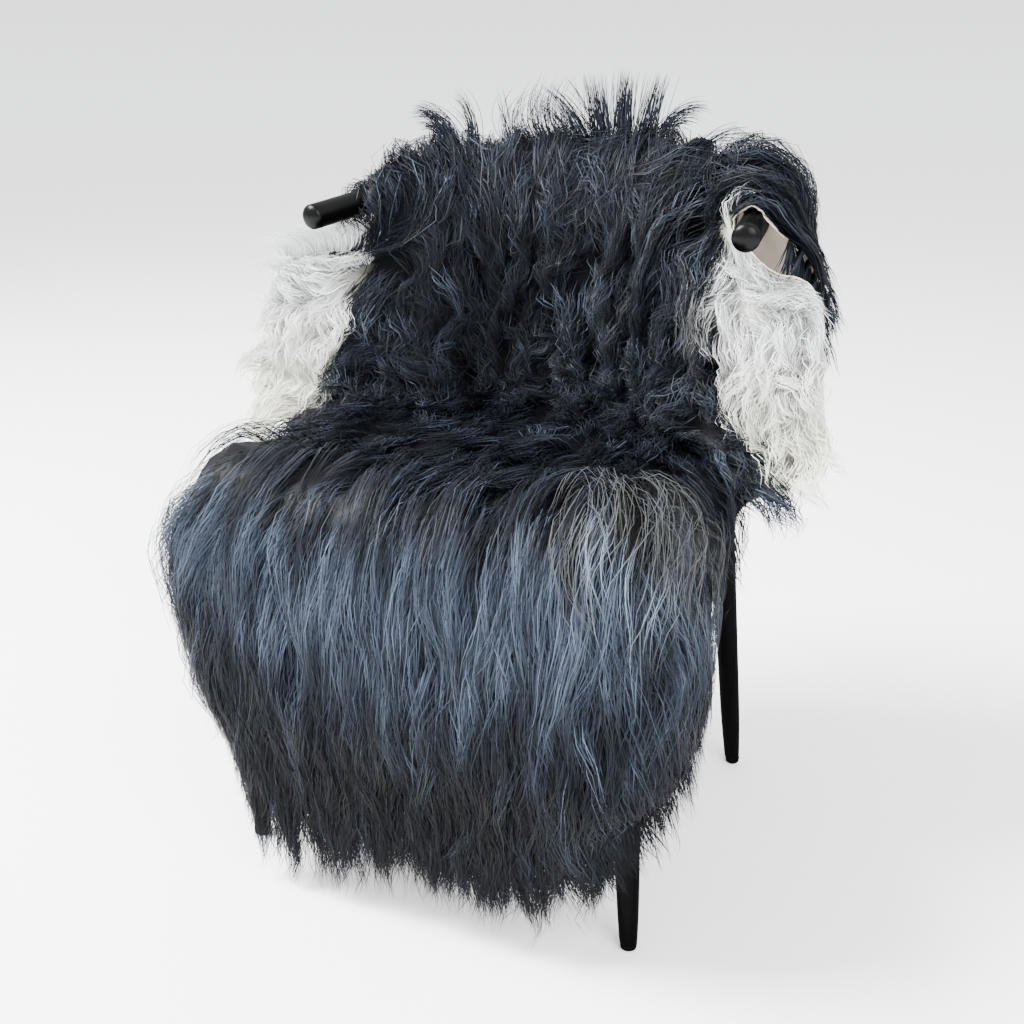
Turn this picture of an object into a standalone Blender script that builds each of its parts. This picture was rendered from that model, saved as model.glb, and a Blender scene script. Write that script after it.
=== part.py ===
"""A long-haired sheepskin rug draped over a plain light armchair.

Metres, +Z up. X runs to the right of a person facing the chair, the front faces -Y.
The chair is modelled about the middle of its four feet. At the end everything is moved
so that the origin is the middle of the whole object's footprint, on the floor.
"""
import math

import bpy
import numpy as np
from mathutils import Vector

# Chair frame
RAIL_RADIUS = 0.015
RAIL_END_HEIGHT = 0.723
RAIL_RISE_PER_METRE = 0.137
RAIL_SIDES = 14
RAIL_SEGMENTS = 36
# The rail's domed ends: depth as a share of its radius, and the dome's rings
DOME_DEPTH = 0.55
DOME_RINGS = (
    # share of the depth, share of the radius
    (0.00, 0.00),
    (0.12, 0.45),
    (0.40, 0.78),
    (1.00, 1.00),
)
# The rail's plan, from the middle of the back to the right arm's end
RAIL_PLAN = (
    # x, y
    (0.000, 0.262),
    (0.110, 0.249),
    (0.196, 0.204),
    (0.243, 0.105),
    (0.2665, -0.0185),
)

SEAT_TOP = 0.452
SEAT_THICKNESS = 0.030
SEAT_FRONT_Y = -0.236
SEAT_BACK_Y = 0.222
SEAT_FRONT_HALF = 0.234
SEAT_BACK_HALF = 0.214
SEAT_CORNER_RADIUS = 0.035
SEAT_EDGE_BEVEL = 0.004

LEG_TOP = SEAT_TOP - SEAT_THICKNESS - 0.0003
LEG_SIDES = 20
FRONT_FOOT = (0.2410, -0.2126)
FRONT_LEG_TOP = (0.2190, -0.2010)
REAR_FOOT = (0.2255, 0.2126)
REAR_LEG_TOP = (0.1960, 0.1780)
# Turned profile of a leg, foot to seat
LEG_PROFILE = (
    # height, radius
    (0.0083, 0.0095),
    (0.0110, 0.0099),
    (0.0460, 0.0115),
    (0.0800, 0.0125),
    (0.1500, 0.0133),
    (0.2200, 0.0140),
    (0.3200, 0.0148),
    (LEG_TOP, 0.0150),
)
# Small glide under each leg
GLIDE_PROFILE = (
    # height, radius
    (0.0000, 0.0070),
    (0.0015, 0.0088),
    (0.0060, 0.0094),
    (0.0080, 0.0092),
)

SPINDLE_RADIUS = 0.0065
SPINDLE_SIDES = 10
SPINDLE_COUNT = 9
SPINDLE_FIRST_PLACE = 0.58
SPINDLE_INSET = 0.016
# A spindle's foot lies this share as far out to the side as its top, and this far forward
SPINDLE_FOOT_SHARE = 0.90
SPINDLE_FOOT_FORWARD = 0.042
SEAT_GAP = 0.0003

# Angles above which an edge is shaded sharp
SHARP_ROUND = math.radians(50)
SHARP_SEAT = math.radians(35)
SHARP_PILE = math.radians(80)
SHARP_LOCK = math.radians(60)

# Pelt. Cloth keeps this distance from the rail it hangs over
PELT_CLEAR = 0.0042
# Places across the pelt where the sections below are given, from left edge to right edge
ACROSS = np.array([-1.0, -0.70, -0.36, 0.0, 0.36, 0.70, 1.0])
# Share of the rail's length, from the middle of the back, under each of those places
RAIL_SHARE_ABOVE = np.array([-0.72, -0.62, -0.28, 0.0, 0.28, 0.66, 0.87])

# The flesh side of the pelt, one row for each section along it. Rows named rail_* are
# worked out from the rail itself. wool is the depth of the pile there in the middle and
# rim the depth at its edges. The steps are the grid rows up to the next section. The left
# swell is how much further out the left side lies than the right.
SECTIONS = (
    # name, steps, wool, rim, left swell, middle(y, z), shoulder(x, y, z), side(x, y, z),
    #   left edge(x, y, z), right edge(x, y, z)
    ("rear_hem", 2, 0.022, 0.010, 0.0, (0.292, 0.610), (0.130, 0.277, 0.602), (0.240, 0.212, 0.606),
     (-0.285, 0.165, 0.672), (0.319, 0.114, 0.654)),
    ("rear_fall", 2, 0.030, 0.012, 0.0, (0.291, 0.695), (0.128, 0.275, 0.690), (0.236, 0.206, 0.690),
     (-0.279, 0.140, 0.708), (0.303, 0.079, 0.698)),
    ("rail_outer", 3, 0.036, 0.014, 0.0, None, None, None, None, None),
    ("rail_top", 3, 0.040, 0.014, 0.0, None, None, None, None, None),
    ("rail_inner", 2, 0.040, 0.012, 0.0, None, None, None, None, None),
    ("under_rail", 2, 0.042, 0.014, 0.0, (0.226, 0.712), (0.108, 0.212, 0.708), (0.188, 0.146, 0.700),
     (-0.266, 0.084, 0.688), (0.281, 0.035, 0.689)),
    ("upper_back", 2, 0.046, 0.016, 0.0, (0.213, 0.640), (0.112, 0.197, 0.636), (0.186, 0.124, 0.634),
     (-0.345, 0.054, 0.662), (0.330, 0.030, 0.670)),
    ("lower_back", 2, 0.046, 0.018, 0.0, (0.198, 0.552), (0.117, 0.178, 0.552), (0.197, 0.100, 0.552),
     (-0.378, 0.034, 0.556), (0.350, 0.020, 0.566)),
    ("seat_back", 2, 0.042, 0.018, 0.0, (0.172, 0.486), (0.123, 0.150, 0.486), (0.214, 0.066, 0.490),
     (-0.376, 0.010, 0.484), (0.352, 0.010, 0.486)),
    ("seat_rear", 2, 0.038, 0.016, 0.0, (0.108, 0.4585), (0.130, 0.092, 0.4585), (0.228, 0.026, 0.4625),
     (-0.300, -0.022, 0.452), (0.288, -0.022, 0.448)),
    ("seat_middle", 2, 0.040, 0.016, 0.0, (0.010, 0.4575), (0.132, -0.002, 0.4575), (0.238, -0.046, 0.4585),
     (-0.290, -0.066, 0.412), (0.276, -0.062, 0.412)),
    ("seat_front", 2, 0.043, 0.018, 0.004, (-0.112, 0.4575), (0.133, -0.118, 0.4575), (0.244, -0.130, 0.4575),
     (-0.296, -0.098, 0.356), (0.271, -0.088, 0.368)),
    ("front_edge", 3, 0.047, 0.020, 0.006, (-0.224, 0.4590), (0.134, -0.225, 0.4585), (0.250, -0.214, 0.4560),
     (-0.300, -0.126, 0.304), (0.270, -0.106, 0.328)),
    ("drop_top", 2, 0.048, 0.020, 0.014, (-0.268, 0.418), (0.138, -0.267, 0.414), (0.264, -0.240, 0.376),
     (-0.300, -0.150, 0.256), (0.269, -0.130, 0.290)),
    ("drop_middle", 2, 0.046, 0.020, 0.002, (-0.271, 0.330), (0.138, -0.270, 0.322), (0.262, -0.244, 0.286),
     (-0.290, -0.178, 0.228), (0.268, -0.156, 0.258)),
    ("drop_low", 2, 0.042, 0.018, -0.002, (-0.275, 0.240), (0.132, -0.273, 0.234), (0.240, -0.256, 0.218),
     (-0.278, -0.206, 0.202), (0.266, -0.184, 0.230)),
    ("hem", 1, 0.034, 0.016, 0.000, (-0.279, 0.156), (0.118, -0.277, 0.152), (0.205, -0.268, 0.156),
     (-0.266, -0.236, 0.178), (0.261, -0.214, 0.204)),
)
SECTION_ORDER = [row[0] for row in SECTIONS]
COLUMNS_PER_SPAN = 6
# The pile thins out to its rim depth from this place across, along this curve
RIM_FROM = 0.62
RIM_CURVE = 1.5
# Share of the pile's depth left at the hem and at the rear hem
END_DEPTH = 0.55
LUMP = 0.192
LUMP_SEED = 7
NEARLY_ZERO = 1e-6

# Rim strips: a narrow band parted from the pelt's edge, with the locks of wool fused to it
STRIP_GAP = 0.0007
STRIP_END_GAP = 0.0012
STRIP_WIDTH = 0.007
LOCK_RINGS = ((0.30, 0.64), (0.66, 0.38))
LOCK_SPREAD = 0.03
LOCK_LENGTHS = (0.84, 1.10)
LOCK_BEND = 0.6
LOCK_SEED = 31
# One row for each strip. along is the edge that it follows; first and last are places on
# that edge, as sections or as shares across. droop is how soon the locks turn down.
STRIPS = (
    # name, along, first, last, lock length, droop, outward, colour
    ("hem_locks_left", "hem", -0.86, -0.36, 0.094, 0.10, 0.06, "black"),
    ("hem_locks_middle", "hem", -0.36, 0.36, 0.094, 0.10, 0.12, "black"),
    ("hem_locks_right", "hem", 0.36, 0.96, 0.088, 0.10, 0.06, "black"),
    ("drop_locks_left", "left", "front_edge", "drop_low", 0.060, 0.50, 0.00, "black"),
    ("drop_locks_right", "right", "front_edge", "drop_low", 0.056, 0.45, 0.00, "black"),
    ("seat_locks_left", "left", "seat_rear", "front_edge", 0.060, 0.50, 0.00, "black"),
    ("seat_locks_right", "right", "seat_rear", "front_edge", 0.060, 0.50, 0.00, "black"),
    ("flank_locks_left", "left", "upper_back", "seat_back", 0.050, 0.38, 0.05, "white"),
    ("flank_locks_right", "right", "upper_back", "seat_back", 0.050, 0.40, 0.05, "white"),
    ("shoulder_locks_left", "left", "rear_hem", "rear_fall", 0.040, 0.55, 0.00, "black"),
    ("shoulder_locks_right", "right", "rear_hem", "rear_fall", 0.056, 0.65, 0.00, "black"),
    ("rear_locks_left", "rear", -0.90, -0.36, 0.056, 0.20, 0.08, "black"),
    ("rear_locks_middle_left", "rear", -0.36, 0.00, 0.056, 0.20, 0.08, "black"),
    ("rear_locks_middle_right", "rear", 0.00, 0.36, 0.056, 0.20, 0.08, "black"),
    ("rear_locks_right", "rear", 0.36, 0.90, 0.056, 0.20, 0.08, "black"),
)
# Upright tufts of wool along the top of the rail, fused to a narrow band on the pile
CROWN_ROW = "rail_top"
CROWN_TUFTS = (
    # name, first, last across, tuft height, lean to the right
    ("crown_tufts_left", -0.44, -0.24, 0.036, -0.25),
    ("crown_tufts_middle", -0.10, 0.34, 0.042, 0.05),
)
# The pile is even within this many sections of the tufts' band
CROWN_CALM = 1.2
CROWN_LIFT = 0.0001
CROWN_BAND = 0.006
CROWN_DROOP = -0.25
CROWN_SEED = 81

COLOURS = {
    # colour, roughness, metallic
    "black": ((0.020, 0.022, 0.028), 0.75, 0.0),
    "white": ((0.78, 0.76, 0.70), 0.85, 0.0),
    "wood": ((0.012, 0.012, 0.013), 0.32, 0.0),
    "glide": ((0.020, 0.020, 0.020), 0.55, 0.0),
}


def clear_scene():
    for thing in list(bpy.data.objects):
        bpy.data.objects.remove(thing)


def make_material(name, colour, roughness, metallic):
    material = bpy.data.materials.new(name)
    material.use_nodes = True
    shader = material.node_tree.nodes["Principled BSDF"]
    shader.inputs["Base Color"].default_value = (*colour, 1.0)
    shader.inputs["Roughness"].default_value = roughness
    shader.inputs["Metallic"].default_value = metallic
    return material


def add_solid(name, points, faces, colour_name, smooth_angle=None):
    """One closed body as an object with its own material."""
    mesh = bpy.data.meshes.new(name)
    mesh.from_pydata([tuple(float(c) for c in p) for p in points], [], faces)
    mesh.validate()
    if smooth_angle is not None:
        mesh.shade_smooth()
        mesh.set_sharp_from_angle(angle=smooth_angle)
    thing = bpy.data.objects.new(name, mesh)
    bpy.context.collection.objects.link(thing)
    mesh.materials.append(make_material(name, *COLOURS[colour_name]))
    return thing


def unit(vectors):
    return vectors / np.maximum(np.linalg.norm(vectors, axis=-1, keepdims=True), 1e-12)


def curve_through(knots, values, samples):
    """A smooth curve through values at knots, read at samples. The first axis runs along it."""
    knots = np.asarray(knots, float)
    values = np.asarray(values, float)
    samples = np.atleast_1d(samples)
    slopes = np.gradient(values, knots, axis=0)
    low = np.clip(np.searchsorted(knots, samples, side="right") - 1, 0, len(knots) - 2)
    span = knots[low + 1] - knots[low]
    shape = (-1,) + (1,) * (values.ndim - 1)
    t = ((samples - knots[low]) / span).reshape(shape)
    span = span.reshape(shape)
    return (
        (2 * t**3 - 3 * t**2 + 1) * values[low]
        + (t**3 - 2 * t**2 + t) * span * slopes[low]
        + (3 * t**2 - 2 * t**3) * values[low + 1]
        + (t**3 - t**2) * span * slopes[low + 1]
    )


# The rail

def rail_table():
    """Points along the whole rail with the share of its half length at each."""
    half = np.array(RAIL_PLAN)
    whole = np.vstack([half[:0:-1] * (-1, 1), half])
    lengths = np.concatenate([[0], np.cumsum(np.linalg.norm(np.diff(whole, axis=0), axis=1))])
    shares = lengths / lengths[-1] * 2 - 1
    return shares, whole


def rail_point(share):
    """A point on the rail's axis; share runs from -1, left arm's end, to 1."""
    shares, whole = rail_table()
    plan = curve_through(shares, whole, share)
    end_y = RAIL_PLAN[-1][1]
    height = RAIL_END_HEIGHT + RAIL_RISE_PER_METRE * (plan[:, 1] - end_y)
    return np.column_stack([plan, height])


def rail_frame(share, step=0.004):
    """Point, outward direction in plan and upward direction across the rail."""
    share = np.atleast_1d(share).astype(float)
    ahead = rail_point(np.clip(share + step, -1, 1))
    behind = rail_point(np.clip(share - step, -1, 1))
    along = unit(ahead - behind)
    outward = unit(np.cross(np.array([0.0, 0.0, 1.0]), along))
    upward = unit(np.cross(along, outward))
    upward *= np.sign(upward[:, 2:3])
    return rail_point(share), outward, upward


def swept_tube(centres, outwards, upwards, radii, sides):
    """Rings round a path, closed at both ends with a point."""
    points = []
    for centre, out, up, radius in zip(centres[1:-1], outwards[1:-1], upwards[1:-1], radii[1:-1]):
        for k in range(sides):
            turn = 2 * math.pi * k / sides
            points.append(centre + radius * (math.cos(turn) * out + math.sin(turn) * up))
    rings = len(centres) - 2
    first_tip = len(points)
    points += [centres[0], centres[-1]]
    faces = []
    for ring in range(rings - 1):
        for k in range(sides):
            a = ring * sides + k
            b = ring * sides + (k + 1) % sides
            faces.append((a, b, b + sides, a + sides))
    last = (rings - 1) * sides
    for k in range(sides):
        faces.append((first_tip, (k + 1) % sides, k))
        faces.append((first_tip + 1, last + k, last + (k + 1) % sides))
    return points, faces


def build_rail():
    """Round bent rail with a domed end on each arm."""
    half_length = rail_half_length()
    dome = RAIL_RADIUS * DOME_DEPTH / half_length
    shares = [-1 + dome * depth for depth, _ in DOME_RINGS]
    radii = [RAIL_RADIUS * size for _, size in DOME_RINGS]
    body = np.linspace(-1 + dome, 1 - dome, RAIL_SEGMENTS + 1)[1:-1]
    shares += list(body)
    radii += [RAIL_RADIUS] * len(body)
    shares += [1 - dome * depth for depth, _ in reversed(DOME_RINGS)]
    radii += [RAIL_RADIUS * size for _, size in reversed(DOME_RINGS)]
    centres, outwards, upwards = rail_frame(np.array(shares))
    points, faces = swept_tube(centres, outwards, upwards, radii, RAIL_SIDES)
    return add_outward_solid("arm_rail", points, faces, "wood", SHARP_ROUND)


def rail_half_length():
    fine = rail_point(np.linspace(0, 1, 60))
    return float(np.linalg.norm(np.diff(fine, axis=0), axis=1).sum())


def add_outward_solid(name, points, faces, colour_name, smooth_angle=None):
    """Adds the solid with its faces turned outwards, whichever way they were listed."""
    points = np.array([tuple(p) for p in points], float)
    volume = 0.0
    for face in faces:
        for k in range(1, len(face) - 1):
            a, b, c = points[face[0]], points[face[k]], points[face[k + 1]]
            volume += np.dot(a, np.cross(b, c))
    if volume < 0:
        faces = [tuple(reversed(face)) for face in faces]
    return add_solid(name, points, faces, colour_name, smooth_angle)


# Legs, glides, seat and spindles

def turned(profile, foot, top, top_height, sides):
    """A turned profile whose axis leans from foot to top, its ends level."""
    points = []
    for height, radius in profile:
        share = height / top_height
        centre_x = foot[0] + (top[0] - foot[0]) * share
        centre_y = foot[1] + (top[1] - foot[1]) * share
        for k in range(sides):
            turn = 2 * math.pi * k / sides
            points.append((centre_x + radius * math.cos(turn), centre_y + radius * math.sin(turn), height))
    rings = len(profile)
    faces = [tuple(reversed(range(sides))), tuple(range((rings - 1) * sides, rings * sides))]
    for ring in range(rings - 1):
        for k in range(sides):
            a = ring * sides + k
            b = ring * sides + (k + 1) % sides
            faces.append((a, b, b + sides, a + sides))
    return points, faces


def build_legs():
    places = (
        ("front_left", -1, FRONT_FOOT, FRONT_LEG_TOP),
        ("front_right", 1, FRONT_FOOT, FRONT_LEG_TOP),
        ("rear_left", -1, REAR_FOOT, REAR_LEG_TOP),
        ("rear_right", 1, REAR_FOOT, REAR_LEG_TOP),
    )
    for place, side, foot, top in places:
        foot = (foot[0] * side, foot[1])
        top = (top[0] * side, top[1])
        leg = turned(LEG_PROFILE, foot, top, LEG_TOP, LEG_SIDES)
        add_outward_solid("leg_" + place, *leg, "wood", SHARP_ROUND)
        glide = turned(GLIDE_PROFILE, foot, foot, LEG_TOP, LEG_SIDES)
        add_outward_solid("glide_" + place, *glide, "glide", SHARP_ROUND)


def rounded_outline(corners, radius, steps=5):
    """A closed outline with each corner rounded by a short arc."""
    outline = []
    count = len(corners)
    for k in range(count):
        before = np.array(corners[k - 1])
        corner = np.array(corners[k])
        after = np.array(corners[(k + 1) % count])
        start = corner + unit(before - corner) * radius
        end = corner + unit(after - corner) * radius
        for t in np.linspace(0, 1, steps):
            outline.append((1 - t) ** 2 * start + 2 * t * (1 - t) * corner + t * t * end)
    return np.array(outline)


def build_seat():
    corners = (
        (-SEAT_FRONT_HALF, SEAT_FRONT_Y),
        (SEAT_FRONT_HALF, SEAT_FRONT_Y),
        (SEAT_BACK_HALF, SEAT_BACK_Y),
        (-SEAT_BACK_HALF, SEAT_BACK_Y),
    )
    outline = rounded_outline(corners, SEAT_CORNER_RADIUS)
    inner = rounded_outline(
        [tuple(np.array(c) - np.sign(c) * SEAT_EDGE_BEVEL) for c in corners],
        SEAT_CORNER_RADIUS,
    )
    bottom = SEAT_TOP - SEAT_THICKNESS
    layers = (
        (inner, bottom),
        (outline, bottom + SEAT_EDGE_BEVEL),
        (outline, SEAT_TOP - SEAT_EDGE_BEVEL),
        (inner, SEAT_TOP),
    )
    points = [(x, y, z) for plan, z in layers for x, y in plan]
    count = len(outline)
    faces = [tuple(reversed(range(count))), tuple(range(3 * count, 4 * count))]
    for layer in range(3):
        for k in range(count):
            a = layer * count + k
            b = layer * count + (k + 1) % count
            faces.append((a, b, b + count, a + count))
    add_outward_solid("seat", points, faces, "wood", SHARP_SEAT)


def build_spindles():
    """Thin uprights from the seat to the rail, round the back."""
    shares = np.linspace(-SPINDLE_FIRST_PLACE, SPINDLE_FIRST_PLACE, SPINDLE_COUNT)
    tops, _, upwards = rail_frame(shares)
    for number, (top, up) in enumerate(zip(tops, upwards), start=1):
        edge = seat_edge_towards(top)
        foot = Vector((edge[0], edge[1], SEAT_TOP + SEAT_GAP))
        ceiling = top - up * (RAIL_RADIUS + SEAT_GAP)
        axis = Vector(ceiling) - foot
        points = []
        for k in range(SPINDLE_SIDES):
            turn = 2 * math.pi * k / SPINDLE_SIDES
            points.append(foot + Vector((math.cos(turn), math.sin(turn), 0)) * SPINDLE_RADIUS)
        for k in range(SPINDLE_SIDES):
            turn = 2 * math.pi * k / SPINDLE_SIDES
            rim = Vector((math.cos(turn), math.sin(turn), 0)) * SPINDLE_RADIUS
            # Cut to the rail's slope, so that it stays below the rail all round
            relief = RAIL_RISE_PER_METRE * abs(rim.y)
            points.append(foot + axis + rim - Vector((0, 0, relief)))
        faces = [tuple(reversed(range(SPINDLE_SIDES))), tuple(range(SPINDLE_SIDES, 2 * SPINDLE_SIDES))]
        for k in range(SPINDLE_SIDES):
            b = (k + 1) % SPINDLE_SIDES
            faces.append((k, b, b + SPINDLE_SIDES, k + SPINDLE_SIDES))
        add_outward_solid(f"spindle_{number}", points, faces, "wood", SHARP_ROUND)


def seat_edge_towards(point):
    """The place on the seat, a little inside its edge, where a spindle stands."""
    back = SEAT_BACK_Y - SPINDLE_INSET
    share_back = (point[1] - SEAT_FRONT_Y) / (SEAT_BACK_Y - SEAT_FRONT_Y)
    half = SEAT_FRONT_HALF + (SEAT_BACK_HALF - SEAT_FRONT_HALF) * min(share_back, 1.0)
    limit = half - SPINDLE_INSET
    x = point[0] * SPINDLE_FOOT_SHARE
    y = point[1] - SPINDLE_FOOT_FORWARD
    return max(-limit, min(limit, x)), min(back, y)


# The pelt's flesh side as a grid

def section_lines(across):
    """The flesh side's line across the pelt at each section, read at every place across."""
    lines = np.zeros((len(SECTIONS), len(across), 3))
    centre, outward, upward = rail_frame(curve_through(ACROSS, RAIL_SHARE_ABOVE, across))
    reach = RAIL_RADIUS + PELT_CLEAR
    mirror = np.array([-1, 1, 1])
    for row, (name, _, _, _, swell, middle, shoulder, side, left, right) in enumerate(SECTIONS):
        if name == "rail_outer":
            lines[row] = centre + reach * outward
        elif name == "rail_top":
            lines[row] = centre + reach * upward
        elif name == "rail_inner":
            lines[row] = centre - reach * outward
        else:
            shaping = np.array([
                left,
                np.array(side) * mirror - np.array([swell, swell * 0.5, 0.0]),
                np.array(shoulder) * mirror - np.array([swell * 0.5, 0.0, 0.0]),
                (0.0, *middle),
                shoulder,
                side,
                right,
            ])
            lines[row] = curve_through(ACROSS, shaping, across)
    return lines


def pelt_grid():
    """Flesh-side points, pile directions, pile depth and the section place of each row."""
    places = []
    for row, section in enumerate(SECTIONS[:-1]):
        places += list(row + np.arange(section[1]) / section[1])
    places.append(len(SECTIONS) - 1.0)
    places = np.array(places)
    across = []
    for low, high in zip(ACROSS[:-1], ACROSS[1:]):
        across += list(low + (high - low) * np.arange(COLUMNS_PER_SPAN) / COLUMNS_PER_SPAN)
    across.append(1.0)
    across = np.array(across)

    points = curve_through(np.arange(len(SECTIONS)), section_lines(across), places)
    along = np.gradient(points, axis=0)
    sideways = np.gradient(points, axis=1)
    pile = unit(np.cross(along, sideways))
    pile = smoothed_directions(pile)

    depth_middle = np.interp(places, np.arange(len(SECTIONS)), [row[2] for row in SECTIONS])
    depth_rim = np.interp(places, np.arange(len(SECTIONS)), [row[3] for row in SECTIONS])
    nearness = np.clip((np.abs(across) - RIM_FROM) / (1 - RIM_FROM), 0, 1) ** RIM_CURVE
    depth = depth_middle[:, None] * (1 - nearness) + depth_rim[:, None] * nearness
    noise = np.random.default_rng(LUMP_SEED).uniform(-1, 1, depth.shape)
    streaks = noise + np.roll(noise, 1, axis=0)
    from_crown = np.abs(places - SECTION_ORDER.index(CROWN_ROW))[:, None]
    streaks *= np.clip(from_crown / CROWN_CALM, 0, 1)
    depth = depth * (1 + LUMP * streaks * (1 - nearness))
    from_end = np.minimum(places, len(SECTIONS) - 1 - places)
    end_taper = np.minimum(1, END_DEPTH + (1 - END_DEPTH) * from_end)
    depth = depth * end_taper[:, None]
    return points, pile, depth, places, across


def smoothed_directions(pile, rounds=3):
    """Averages each direction with its neighbours, so that the pile doesn't cross itself."""
    for _ in range(rounds):
        padded = np.pad(pile, ((1, 1), (1, 1), (0, 0)), mode="edge")
        pile = unit(
            padded[1:-1, 1:-1] * 2
            + padded[:-2, 1:-1] + padded[2:, 1:-1]
            + padded[1:-1, :-2] + padded[1:-1, 2:]
        )
    return pile


def build_pelt(grid):
    """The main solid: flesh side, wool side and the rim between them."""
    points, pile, depth, _, _ = grid
    rows, columns = depth.shape
    inner = points.reshape(-1, 3)
    outer = (points + pile * depth[..., None]).reshape(-1, 3)
    count = rows * columns
    faces = []
    for i in range(rows - 1):
        for j in range(columns - 1):
            a = i * columns + j
            quad = (a, a + 1, a + columns + 1, a + columns)
            faces.append(quad)
            faces.append(tuple(count + k for k in reversed(quad)))
    rim = list(range(columns))
    rim += [i * columns + columns - 1 for i in range(1, rows)]
    rim += [(rows - 1) * columns + j for j in range(columns - 2, -1, -1)]
    rim += [i * columns for i in range(rows - 2, 0, -1)]
    for a, b in zip(rim, rim[1:] + rim[:1]):
        faces.append((b, a, count + a, count + b))
    add_outward_solid("pelt", np.vstack([inner, outer]), triangles(faces), "black", SHARP_PILE)


def triangles(faces):
    """Splits each four-sided face in two, because the drape's faces aren't flat."""
    split = []
    for face in faces:
        if len(face) == 4:
            split += [(face[0], face[1], face[2]), (face[0], face[2], face[3])]
        else:
            split.append(face)
    return split


# Rim strips and crown tufts

def edge_run(grid, along, first, last):
    """Flesh edge, wool edge and the direction off the cloth, for a stretch of one edge."""
    points, pile, depth, places, across = grid
    if along in ("hem", "rear"):
        row = -1 if along == "hem" else 0
        inside = -2 if along == "hem" else 1
        chosen = np.nonzero((across >= first - NEARLY_ZERO) & (across <= last + NEARLY_ZERO))[0]
        flesh = points[row, chosen]
        off = unit(points[row, chosen] - points[inside, chosen])
        up = pile[row, chosen]
        size = depth[row, chosen]
    else:
        column = 0 if along == "left" else -1
        inside = 1 if along == "left" else -2
        low = SECTION_ORDER.index(first)
        high = SECTION_ORDER.index(last)
        chosen = np.nonzero((places >= low - NEARLY_ZERO) & (places <= high + NEARLY_ZERO))[0]
        flesh = points[chosen, column]
        off = unit(points[chosen, column] - points[chosen, inside])
        up = pile[chosen, column]
        size = depth[chosen, column]
    square = unit(np.cross(np.gradient(flesh, axis=0), up))
    off = square * np.sign(np.sum(square * off, axis=1, keepdims=True))
    wool = flesh + up * size[:, None]
    # The run goes the way round that splits the band's faces as the pelt's rim is split
    if along in ("rear", "right"):
        return flesh[::-1], wool[::-1], off[::-1]
    return flesh, wool, off


def lock_path(root, off, outward, length, droop, lift):
    """Centre of a lock at a share of its length: off the edge, then down."""
    def at(share):
        reach = length * share
        turned_share = droop * share
        direction = off * (1 - turned_share) + np.array([0, 0, -1.0]) * turned_share
        return root + unit(direction) * reach + outward * lift * length * math.sin(share * math.pi * LOCK_BEND)
    return at


def drawn_in(line):
    """The same line with its two ends a little shorter, clear of the next strip."""
    line = np.array(line)
    line[0] += unit(line[1] - line[0]) * STRIP_END_GAP
    line[-1] += unit(line[-2] - line[-1]) * STRIP_END_GAP
    return line


def strip_with_locks(name, bottoms, tops, off, length, droop, lift, colour_name, seed):
    """A band of short blocks, each drawn out into one four-sided lock."""
    random = np.random.default_rng(seed)
    bottoms, tops = drawn_in(bottoms), drawn_in(tops)
    near = off * STRIP_GAP
    far = off * (STRIP_GAP + STRIP_WIDTH)
    count = len(bottoms)
    points = list(bottoms + near) + list(tops + near) + list(tops + far) + list(bottoms + far)
    faces = []
    for k in range(count - 1):
        for low, high in ((0, 1), (1, 2), (3, 0)):
            a = low * count + k
            b = high * count + k
            faces.append((a, b, b + 1, a + 1))
    faces.append((0, 3 * count, 2 * count, count))
    faces.append((count - 1, 2 * count - 1, 3 * count - 1, 4 * count - 1))
    for k in range(count - 1):
        root = [2 * count + k, 3 * count + k, 3 * count + k + 1, 2 * count + k + 1]
        corners = np.array([points[c] for c in root])
        centre = corners.mean(axis=0)
        pile = unit((tops[k] + tops[k + 1]) - (bottoms[k] + bottoms[k + 1]))
        side = unit(bottoms[k + 1] - bottoms[k])
        spread = side * random.uniform(-LOCK_SPREAD, LOCK_SPREAD)
        size = length * random.uniform(*LOCK_LENGTHS)
        heading = unit((off[k] + off[k + 1]) / 2 + spread)
        path = lock_path(centre, heading, pile, size, droop, lift)
        previous = root
        for share, scale in LOCK_RINGS:
            middle = path(share)
            ring_ids = []
            for corner in corners:
                points.append(middle + (corner - centre) * scale)
                ring_ids.append(len(points) - 1)
            for m in range(4):
                n = (m + 1) % 4
                faces.append((previous[m], previous[n], ring_ids[n], ring_ids[m]))
            previous = ring_ids
        points.append(path(1.0))
        tip = len(points) - 1
        for m in range(4):
            faces.append((previous[m], previous[(m + 1) % 4], tip))
    return add_outward_solid(name, points, triangles(faces), colour_name, SHARP_LOCK)


def build_strips(grid):
    for number, (name, along, first, last, length, droop, lift, colour_name) in enumerate(STRIPS):
        bottoms, tops, off = edge_run(grid, along, first, last)
        strip_with_locks(name, bottoms, tops, off, length, droop, lift, colour_name, LOCK_SEED + number)


def build_crown(grid):
    """Upright tufts on narrow bands that lie on the pile over the rail."""
    points, pile, depth, places, across = grid
    row = int(np.nonzero(np.isclose(places, SECTION_ORDER.index(CROWN_ROW)))[0][0])
    wool = points + pile * depth[..., None]
    for number, (name, first, last, height, lean) in enumerate(CROWN_TUFTS):
        chosen = np.nonzero((across >= first - NEARLY_ZERO) & (across <= last + NEARLY_ZERO))[0]
        ridge = wool[row, chosen] + pile[row, chosen] * CROWN_LIFT
        along = unit(np.gradient(ridge, axis=0))
        width = unit(np.cross(along, pile[row, chosen])) * CROWN_BAND
        heading = unit(pile[row, chosen] + along * lean)
        strip_with_locks(name, ridge - width, ridge + width, heading, height, CROWN_DROOP, 0.0,
                         "black", CROWN_SEED + number)


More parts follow.
